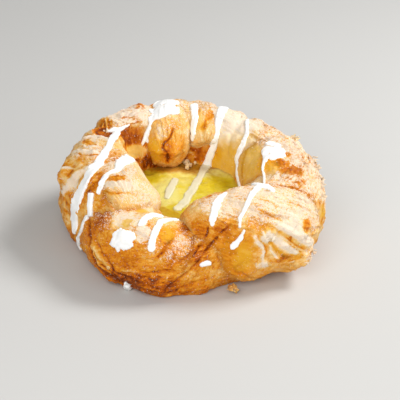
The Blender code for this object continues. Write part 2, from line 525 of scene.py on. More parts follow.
@dataclass(kw_only=True)
class DoughPiece:
    """A closed swelling of dough: u runs along it and v round it, in radians.

    In its methods u is a column and v a row of places; points, base and normals are grids
    with a row for each u and a column for each v, and a gap is the distance to other pieces.
    """

    name: str
    rows: int = 330
    columns: int = 300
    first_u: float = 0.0
    last_u: float = math.pi
    closes: bool = False  # whether its end meets its start; if not, it has two poles
    floor_height: float = 0.0
    crowding: float = 0.4  # how much closer the columns are on top
    inset: float = 0.55  # how far the skin's mean lies inside the form
    merge: float = 0.4  # how far the skin swells beside other pieces
    wrinkled: float = 0.8
    grain_size: float = 4.0
    squareness: float = 2.3
    pulls: tuple[Pull, ...] = ()
    neighbours: list["DoughPiece"] = field(default_factory=list)

    def form(self, u: Array, v: Array) -> Array:
        """The smooth form at each u and v, before its pulls."""
        raise NotImplementedError

    def tone(self, points: Array, normals: Array) -> Looks:
        """The piece's own bake and sugar, partly painted light, and any soak, before the marks."""
        raise NotImplementedError

    def outside(self, points: Array) -> Array:
        """Roughly how many millimetres points lie outside the form, negative inside."""
        raise NotImplementedError

    def grain(self, u: Array, v: Array) -> Array:
        """Coordinates for wrinkles, here even in every direction."""
        return self.form(u, v) / self.grain_size

    def layering(self, u: Array, v: Array, base: Array, gap: Array) -> list[tuple]:
        """Layers with the place across them and the share of them that shows: here none."""
        return []

    def lined(self, u: Array, base: Array, normals: Array) -> Array:
        """How far wrinkles show: not at the poles, where they would all meet."""
        return self.wrinkled * ease(0.1, 0.45, np.sin(u))

    def pulled(self, u: Array, v: Array) -> Array:
        """The form after its pulls."""
        points = self.form(u, v)
        for pull in self.pulls:
            points = pull.moved(points)
        return points

    def normals(self, u: Array, v: Array) -> Array:
        """Outward normals: the cross product of small steps along u and round v."""
        step = 0.004
        along = self.pulled(u + step, v) - self.pulled(u - step, v)
        around = self.pulled(u, v + step) - self.pulled(u, v - step)
        return unit(np.cross(along, around))

    def marked(self, base: Array, normals: Array) -> Looks:
        """Sum of all marks on this piece, by what they change."""
        totals = {part.name: np.zeros(base.shape[:-1]) for part in fields(Mark)}
        for place in MARKS:
            if place.on and self.name not in place.on:
                continue
            near = place.near(base)
            if near.any():
                share = place.share(base[near], normals[near])
                for name, total in totals.items():
                    total[near] += getattr(place.mark, name) * share
        return totals

    def coarse_relief(self, u: Array, v: Array, base: Array, normals: Array) -> tuple:
        """Lumps, shingles and the swelling next to other pieces.

        Args:
            u: places along the piece, one row each.
            v: places round it, one column each.
            base: the form's points there.
            normals: the form's normals there.

        Returns:
            The height, the shingles' edges, the distance to other pieces and the marks.
        """
        gap = np.full(base.shape[:-1], FAR)
        for other in self.neighbours:
            gap = np.minimum(gap, other.outside(base))
        marks = self.marked(base, normals)
        firm = np.clip(1 - marks["soft"], 0, 1)
        height = 0.85 * LUMPS.at(base, 15.0) + 0.55 * LUMPS.at(base, 7.0) * (0.6 + 0.4 * firm)
        height = height - self.inset
        edge = np.zeros_like(height)
        for layers, across, share in self.layering(u, v, base, gap):
            step, lip = layers.steps(across, base)
            height = height + step * share * firm
            edge = np.maximum(edge, lip * share * firm)
        height = height + self.merge * np.exp(-np.maximum(gap, 0.0) / 1.6)
        return height + marks["height"], edge, gap, marks

    def skin(self, u: Array, v: Array) -> Skin:
        """The whole skin with its relief and looks, and one normal at each pole.

        The fine relief is wrinkles, hairs and flaked layers where the skin is lined, and
        blisters and grain all over. Bake, sugar and cracks are the piece's own tone and
        the marks, changed a little by that relief, with painted shade where pieces meet and
        at the steps' feet and the shingles' edges; bake and sugar also carry painted light.

        Args:
            u: places along the piece, one row each.
            v: places round it, one column each.

        Returns:
            The skin.
        """
        base, normals = self.pulled(u, v), self.normals(u, v)
        if not self.closes:
            for row, beside in ((0, 1), (-1, -2)):
                normals[row] = unit(normals[beside].mean(axis=0))
        height, edge, gap, marks = self.coarse_relief(u, v, base, normals)
        firm = np.clip(1 - marks["soft"], 0, 1)
        lined = firm * self.lined(u, base, normals)
        warp = 0.5 * np.stack([LUMPS.at(base + shift, 7.0) for shift in (0, 40, 80)], axis=-1)
        wrinkle = self.grain(u, v) + warp
        ridged = 1 - 2.2 * np.abs(GRAIN.at(wrinkle, 1.0))
        hairs = 1 - 2.2 * np.abs(GRAIN.at(wrinkle + 31.7, 0.6))
        layer, foot, lip = Terraces().steps(wrinkle, base)
        blister = ease(0.1, 0.6, PATCHY.at(base, 3.0))
        pebble = GRAIN.at(base, 1.7)
        speck = GRAIN.at(base, 0.9)
        fine = (0.15 * ridged + 0.09 * hairs + layer) * (0.1 + 0.9 * lined)
        fine = fine + (0.28 * blister + 0.15 * pebble + 0.08 * speck) * (0.25 + 0.75 * firm)
        tone = self.tone(base, normals)
        warm = PATCHY.blend(base, (0.12, 10.0), (0.10, 4.0))
        broken = 0.75 + 0.35 * ridged + 0.45 * pebble
        bake = tone["bake"] + warm + marks["bake"] * np.where(marks["bake"] > 0, broken, 1.0)
        # partly painted shade: darker at the feet of the flaked steps and at the shingles' edges
        streaks_and_shade = 0.07 * ridged + 0.06 * hairs + 0.18 * foot - 0.15 * lip + 0.16 * edge
        bake = bake + lined * streaks_and_shade + firm * (0.05 * speck - 0.06 * blister)
        # painted shade: darker where pieces meet, at the shingles' edges and the steps' feet; the marks
        # add real cracks and more painted shade
        crease = bell(np.maximum(gap, 0.0), 0.9)
        crack = 0.5 * crease + lined * (0.55 * edge + 0.2 * foot) + marks["crack"]
        sugar = tone["sugar"] + marks["sugar"] + 0.2 * PATCHY.at(base, 5.0) - 0.2 * edge
        sugar = sugar + tone["sugar"] * (0.2 * lip - 0.3 * foot - 0.12 * ridged)
        soak = marks["soak"] + tone.get("soak", 0.0)
        looks = {"bake": bake, "sugar": sugar, "soak": soak, "crack": crack, "soft": marks["soft"]}
        looks = {name: np.clip(values, 0, 1) for name, values in looks.items()}
        return Skin(base, normals, height, fine, looks, gap, self.floor_height)

    def grid(self) -> tuple[Array, Array]:
        """Places along and round the whole piece, as a column and a row, closer on top."""
        u = np.linspace(self.first_u, self.last_u, self.rows + 1)[:, None]
        turn = np.linspace(0, TURN, self.columns + 1)[None, :]
        return u, turn - 0.5 * math.pi + self.crowding * np.sin(turn)

    def build(self) -> tuple[Object, Skin]:
        """Make the piece's object: a closed surface, flat where it stands on the table."""
        u, v = self.grid()
        skin = self.skin(u, v[:, :-1])
        faces = closed_faces(self.rows + 1, self.columns, self.closes)
        return new_object(self.name, skin.points, faces, skin.looks), skin


@dataclass(kw_only=True)
class Ring(DoughPiece):
    """The ring of dough, lofted through unlike sections, in squared ovals."""

    sections: tuple[tuple[float, ...], ...]
    creases: tuple[float, ...]
    name: str = "ring"
    rows: int = 560
    columns: int = 178
    first_u: float = math.radians(-70)
    last_u: float = math.radians(290)
    closes: bool = True
    squareness: float = 2.25
    merge: float = 0.5
    crease_depth: float = 2.2
    crease_width: float = 3.0
    grain_radius: float = 44.0
    layer_radius: float = 46.0
    girth: float = 21.0

    def section(self, u: Array) -> list[Array]:
        """Outer, core and inner radius, crest and waist of the section at each angle."""
        angles, *sizes = np.array(self.sections, float).T
        return [round_curve(angles, size, np.degrees(u)) for size in sizes]

    def nip(self, u: Array) -> Array:
        """How far a crease draws the outer wall in."""
        away = [np.abs((np.degrees(u) - crease + 180.0) % 360.0 - 180.0) for crease in self.creases]
        return self.crease_depth * bell(np.minimum.reduce(away), self.crease_width)

    def form(self, u: Array, v: Array) -> Array:
        """A squared oval round the core line: radius and height as powers of cos and sin."""
        outer, core, inner, crest, waist = self.section(u)
        nip = self.nip(u)
        across = signed_power(np.cos(v), 2 / self.squareness)
        upward = signed_power(np.sin(v), 2 / self.squareness)
        radius = core + np.where(across > 0, outer - nip - core, core - inner) * across
        height = waist + np.where(upward > 0, crest - 0.5 * nip - waist, waist + SINK) * upward
        return turned(radius, u, height)

    def outside(self, points: Array) -> Array:
        """Distance in the section's plane, scaled from the squared oval's own measure."""
        outer, core, inner, crest, waist = self.section(np.arctan2(points[..., 1], points[..., 0]))
        across, up = off_axis(points) - core, points[..., 2] - waist
        wide = np.where(across > 0, outer - core, core - inner)
        high = np.where(up > 0, crest - waist, waist + SINK)
        norm = power_norm(self.squareness, across / wide, up / high)
        return np.hypot(across, up) * (1 - 1 / np.maximum(norm, 0.05))

    def lined(self, u: Array, base: Array, normals: Array) -> Array:
        """How far wrinkles show: little on the wall of the hole."""
        return 0.85 - 0.65 * self.inside(base, normals)

    def inside(self, points: Array, normals: Array) -> Array:
        """How far points belong to the wall of the hole."""
        return ease(0.15, 0.8, -outward(points, normals)) * ease(46, 38, off_axis(points))

    def crossing(self, u: Array) -> Array:
        """Where the layers run across the ring, on its left, from 0 to 1."""
        angle = np.degrees(u) % 360.0
        return ease(128, 148, angle) * ease(222, 205, angle)

    def grain(self, u: Array, v: Array) -> Array:
        """Wrinkle coordinates: long round the ring, or across it on the left."""
        place = turned(self.grain_radius + 0 * v, u, self.girth * v)
        across = self.crossing(u)[..., None] > 0.5
        return place / np.where(across, (1.4, 1.4, 6.0), (5.0, 5.0, 1.3))

    def layering(self, u: Array, v: Array, base: Array, gap: Array) -> list[tuple]:
        """Shingles round the ring, across it on the left, and beside the folds."""
        crossing = self.crossing(u) + 0 * v
        outer = 1 - ease(34, 26, off_axis(base))
        open_skin = outer * (1 - crossing)
        beside = ease(9, 3, gap) * ease(36, 30, base[..., 2])
        girth, arc = self.girth * v + 0 * u, self.layer_radius * u + 0 * v
        return [
            (Layers(5.2, 0.75), girth, open_skin * (1 - beside)),
            (Layers(2.1, 0.3, lip=0.7), girth, open_skin * (1 - beside)),
            (Layers(6.5, 1.1), arc, outer * crossing * (1 - beside)),
            (Layers(2.7, 0.3, lip=0.7), arc, outer * crossing),
            (Layers(2.3, 0.8, wander=0.35), -gap, beside),
        ]

    def tone(self, points: Array, normals: Array) -> Looks:
        """Pale inside, browner low down, most sugar at the back and right: partly painted light."""
        inner = self.inside(points, normals)
        low = ease(13, 2, points[..., 2])
        # partly painted light: towards the back right the dough is paler and more sugared
        right = ease(0, 38, 0.8 * points[..., 0] + 0.6 * points[..., 1])
        left = ease(-30, -50, points[..., 0])
        # partly painted light: sugar weighted to faces towards the key light, over the real dusting on
        # top
        toward_key_light = ease(0.0, 0.75, normals @ np.array((0.45, 0.35, 0.82)))
        return {
            "bake": 0.38 - 0.24 * inner + 0.16 * low - 0.10 * right - 0.05 * left,
            "sugar": (0.46 + 0.30 * right + 0.1 * left) * toward_key_light * (1 - 0.4 * inner),
            "soak": 0.75 * inner * ease(38, 26, points[..., 2]),
        }


@dataclass(kw_only=True)
class Fold(DoughPiece):
    """A swollen fold: a squarer ellipsoid, bent sideways, turned by yaw, raised by pitch."""

    centre: Point
    radii: Point
    yaw: float
    pitch: float = 0.0
    bend: float = 0.0
    lean: float = 0.0
    step: Layers = Layers(4.6, 0.7)
    bake: float = 0.42
    sugar: float = 0.5
    inner_bake: float = 0.2
    follows: float = 0.0  # how far its layers follow the folds beside it

    @property
    def turn(self) -> Array:
        """Rotation from the fold's own axes to the pastry's."""
        yaw, pitch = math.radians(self.yaw), math.radians(self.pitch)
        cy, sy, cp, sp = math.cos(yaw), math.sin(yaw), math.cos(pitch), math.sin(pitch)
        about_z = np.array(((cy, -sy, 0), (sy, cy, 0), (0, 0, 1)))
        return about_z @ np.array(((cp, 0, -sp), (0, 1, 0), (sp, 0, cp)))

    def form(self, u: Array, v: Array) -> Array:
        """A sphere scaled onto the unit ball of the power norm, stretched and bent."""
        parts = np.cos(u) + 0 * v, np.sin(u) * np.cos(v), np.sin(u) * np.sin(v)
        norm = power_norm(self.squareness, *parts)
        along, across, up = (part / norm for part in parts)
        sideways = across * self.radii[1] + self.bend * along * along
        local = np.stack([along * self.radii[0], sideways, up * self.radii[2]], axis=-1)
        return local @ self.turn.T + np.array(self.centre)

    def outside(self, points: Array) -> Array:
        """Distance along the ray from the centre, from the power norm."""
        local = (points - np.array(self.centre)) @ self.turn
        along, up = local[..., 0] / self.radii[0], local[..., 2] / self.radii[2]
        across = (local[..., 1] - self.bend * along * along) / self.radii[1]
        norm = power_norm(self.squareness, along, across, up)
        return length(local) * (1 - 1 / np.maximum(norm, 0.05))

    def girth(self, u: Array, v: Array) -> Array:
        """Place round the fold in millimetres, leaning along its length."""
        radius = 0.5 * (self.radii[1] + self.radii[2])
        return radius * v + self.lean * self.radii[0] * np.cos(u)

    def grain(self, u: Array, v: Array) -> Array:
        """Wrinkle coordinates: long along the fold and short round it."""
        along = self.radii[0] * np.cos(u) + 0 * v
        return np.stack([along / 5.5, self.girth(u, v) / 1.35, 0 * along], axis=-1)

    def layering(self, u: Array, v: Array, base: Array, gap: Array) -> list[tuple]:
        """Shingles along the fold, and layers that follow the folds beside it."""
        beside = ease(8, 2.5, gap) * ease(34, 27, base[..., 2]) * self.follows
        girth = self.girth(u, v)
        return [
            (self.step, girth, 1 - beside),
            (Layers(2.0, 0.32, lip=0.7), girth + 0.7 * LUMPS.at(base, 9.0), 1 - beside),
            (Layers(1.9, 0.7, wander=0.35), -gap, beside),
        ]

    def tone(self, points: Array, normals: Array) -> Looks:
        """Paler towards the hole, browner low down, with sugar on top, partly painted light."""
        inner = ease(0.2, 0.85, -outward(points, normals))
        low = ease(13, 2, points[..., 2])
        # partly painted light: sugar weighted to faces towards the key light, over the real dusting on
        # top
        toward_key_light = ease(0.05, 0.8, normals @ np.array((0.42, 0.1, 0.9)))
        return {
            "bake": self.bake + (self.inner_bake - self.bake) * inner + 0.14 * low,
            "sugar": self.sugar * toward_key_light * (1 - 0.6 * inner),
        }


@dataclass(kw_only=True)
class Bed(DoughPiece):
    """The flat dough under the filling: a low disc that only shows from below."""

    name: str = "bed"
    rows: int = 120
    columns: int = 180
    floor_height: float = 0.12
    crowding: float = 0.0
    inset: float = 0.0
    merge: float = 0.0
    wrinkled: float = 1.0
    grain_size: float = 3.0

    def form(self, u: Array, v: Array) -> Array:
        """A flattened ball: radius by a square root of sin, height by a square root of cos."""
        height = 0.5 * BED_TOP * (1 + signed_power(np.cos(u), 0.5))
        return turned(BED_RADIUS * np.sin(u) ** 0.5, v, height)

    def tone(self, points: Array, normals: Array) -> Looks:
        """Evenly browned."""
        plain = np.zeros(points.shape[:-1])
        return {"bake": plain + 0.6, "sugar": plain}


@dataclass(kw_only=True)
class Custard(DoughPiece):
    """The filling: a lumpy, crowned pool."""

    name: str = "custard"
    rows: int = 220
    columns: int = 400
    floor_height: float = BED_TOP - 0.5
    crowding: float = 0.0
    inset: float = 0.0
    merge: float = 0.9
    wrinkled: float = 1.0

    def form(self, u: Array, v: Array) -> Array:
        """A crowned disc: the first quarter turn of u is its top and the second its base."""
        turn = u / (0.25 * TURN)
        share = np.where(turn < 1, turn, 2 - turn)
        top = CUSTARD_LEVEL + CUSTARD_CROWN * (1 - share**2)
        return turned(CUSTARD_RADIUS * share, v, np.where(turn <= 1, top, BED_TOP))

    def normals(self, u: Array, v: Array) -> Array:
        """Straight up over the pool, straight down under it."""
        upward = np.where(u <= 0.25 * TURN, 1.0, -1.0) + 0 * v
        return np.stack([0 * upward, 0 * upward, upward], axis=-1)

    def tone(self, points: Array, normals: Array) -> Looks:
        """Even; "soak" is how deep the custard's yellow is."""
        plain = np.zeros(points.shape[:-1])
        return {"bake": plain + 0.3, "sugar": plain, "soak": plain + 0.35}

    def skin(self, u: Array, v: Array) -> Skin:
        """A soft, lumpy skin with no crust on it."""
        skin = super().skin(u, v)
        skin.fine = LUMPS.blend(skin.base, (0.35, 4.0), (0.12, 1.9))
        return skin


# ---- sizes of the dough

SECTIONS = (  # angle in degrees; outer, core and inner radius; heights of crest and waist
    (0, 58.5, 41, 21, 41, 19),
    (45, 57.5, 43, 26, 44, 20),
    (90, 57.5, 45, 31, 46.5, 20),
    (135, 59, 46, 30, 45.5, 20),
    (180, 58, 40, 22, 43, 19),
    (215, 51, 37, 23, 36, 17),
    (255, 49, 35, 21, 25, 14),
    (300, 43, 30, 16, 32, 16),
    (330, 46, 34, 20, 38, 18),
)
CREASES = (12, 38, 62, 118, 150, 162, 174, 193)  # degrees, where the outer wall is nipped in

FOOT_PULLS = (  # the fuller foot at the front left
    Pull((-10, -44, 1), 11, (0, -4.2, 0)),
    Pull((-33, -38, 2), 7, (-0.8, -3.4, 0)),
    Pull((8, -41, 1), 6, (0.3, -1.6, 0)),
)
RING_PULLS = (
    Pull((-27, 17, 40), 7.5, (0, 2, -9)),  # the hollow in front of the hood
    Pull((-41, 17, 44), 4.5, (0, 1, -3.5)),
    Pull((-57, -5, 32), 3.0, (-2.2, 0, 1.2)),
    Pull((9.5, 49, 45), 2.6, (0, -0.5, -2.2)),
    Pull((-56, 2, 36), 6, (-1.2, 0, 0.8)),
    Pull((-53, -17, 11), 8, (1.6, 0.6, 0)),
    Pull((43, 30, 41), 6, (0.9, 0.9, 1.2)),
    *FOOT_PULLS,
)


def make_folds() -> list[Fold]:
    """The folds that lie on the ring, each with its own lean, layers and bake."""
    return [
        Fold(
            name="fold_front_right", centre=(26, -24, 20.5), radii=(31, 16, 20), yaw=20, pitch=2,
            bend=4, lean=-0.5, step=Layers(5.0, 0.9), bake=0.31, sugar=0.8, inner_bake=0.3,
            wrinkled=0.5, floor_height=0.02, pulls=(
                Pull((4, -34, 33), 7, (-1, 0, 3)),
                Pull((57, -5, 22), 3.5, (1.8, 0, 0)),
                Pull((49, -27, 12), 4.5, (2, -1.5, -1)),
                Pull((38, -33, 3), 7, (-0.5, 2.2, 0.5)),
            ),
        ),
        Fold(
            name="fold_front_left", centre=(-21, -29, 15), radii=(29, 18.5, 17), yaw=-30, bend=4,
            lean=0.1, step=Layers(6.0, 0.6), bake=0.50, sugar=0.4, inner_bake=0.15, wrinkled=0.65,
            floor_height=0.04, follows=1.0, pulls=(Pull((-9, -22, 29), 8, (0, -2.5, -6)), *FOOT_PULLS),
        ),
        Fold(
            name="fold_left_inner", centre=(-32, -9, 25), radii=(24, 13, 16), yaw=108, rows=300,
            columns=240, lean=0.3, step=Layers(4.6, 0.5), bake=0.27, sugar=0.7, inner_bake=0.08,
            wrinkled=0.15, floor_height=0.06, pulls=(Pull((-19, -12, 28), 9, (4, 0, 0)),),
        ),
        Fold(
            name="fold_right", centre=(36, 10, 24), radii=(30, 16, 19), yaw=104, pitch=3,
            lean=-0.2, bake=0.33, sugar=0.75, inner_bake=0.34, floor_height=0.08, wrinkled=0.35,
        ),
        Fold(
            name="fold_hood", centre=(-31, 32, 37), radii=(17, 9, 7.5), yaw=38, rows=220,
            columns=180, lean=0.1, step=Layers(3.5, 0.5), bake=0.25, sugar=0.9, inner_bake=0.3,
            pulls=(Pull((-25, 22, 38), 6, (-1.5, 3, 1)),),
        ),
        Fold(
            name="fold_back_left", centre=(-13, 32.5, 34.5), radii=(18, 10, 10.5), yaw=-88,
            pitch=-30, rows=260, columns=220, step=Layers(3.4, 0.4), lean=0.2, bake=0.30,
            sugar=0.45, inner_bake=0.34, wrinkled=0.25, pulls=(
                Pull((-12.5, 17, 25.5), 7.5, (0, 1.5, 6)),
                Pull((-21, 20, 28), 5, (0.9, 0.5, 2.2)),
                Pull((-5, 21, 29), 5, (-2.8, 0.5, 2.0)),
            ),
        ),
        Fold(
            name="fold_back", centre=(3, 41, 35), radii=(13, 8.5, 11), yaw=-84, pitch=-32,
            rows=220, columns=180, step=Layers(3.4, 0.4), bake=0.31, sugar=0.5, inner_bake=0.16,
            wrinkled=0.4, pulls=(Pull((4, 30.5, 28.5), 6.5, (0, 1.5, 4.5)),),
        ),
    ]


FRONT_RIGHT = ("fold_front_right",)
FRONT_LEFT = ("fold_front_left",)
LEFT_INNER = ("fold_left_inner",)
BACK_LEFT = ("fold_back_left",)
BACK = ("fold_back",)
RIGHT = ("fold_right",)
RING = ("ring",)
HOOD = ("fold_hood",)
CREST = ("ring", "fold_hood")
SEAM = ("fold_front_left", "fold_front_right", "ring")
LEFT_EDGE = ("ring", "fold_front_left")
LEFT_TOP = ("ring", "fold_left_inner", "fold_front_left")
POOL = ("custard",)

RIDGE = Mark(height=0.8, bake=-0.3, sugar=0.6)
# CUT and GROOVE darken their grooves: real cracks and browning, and painted shade in the recess
CUT = Mark(height=-1.1, bake=0.38, crack=0.38, sugar=-0.9)
GROOVE = Mark(height=-0.9, bake=0.38, crack=0.35, sugar=-1)
# a darker line: a real streak in places, painted shadow beside a ridge in others
STREAK_AND_SHADOW = Mark(height=-0.4, bake=0.3, sugar=-0.7)
FIBRE = Mark(height=0.8, bake=-0.25, sugar=1.2)
CRISP = Mark(height=0.7, bake=-0.7, crack=-0.5, sugar=1.6)
THREAD = Mark(height=-0.35, bake=0.22, crack=0.1, sugar=-0.6)
BROWNED = Mark(bake=0.4, sugar=-1.0)
TOASTED = Mark(bake=0.2, sugar=-1, soft=0.5)
TANNED = Mark(bake=0.1, sugar=-0.3)
YELLOW = Mark(soak=0.6)
POWDER = Mark(bake=-0.1, sugar=0.6)

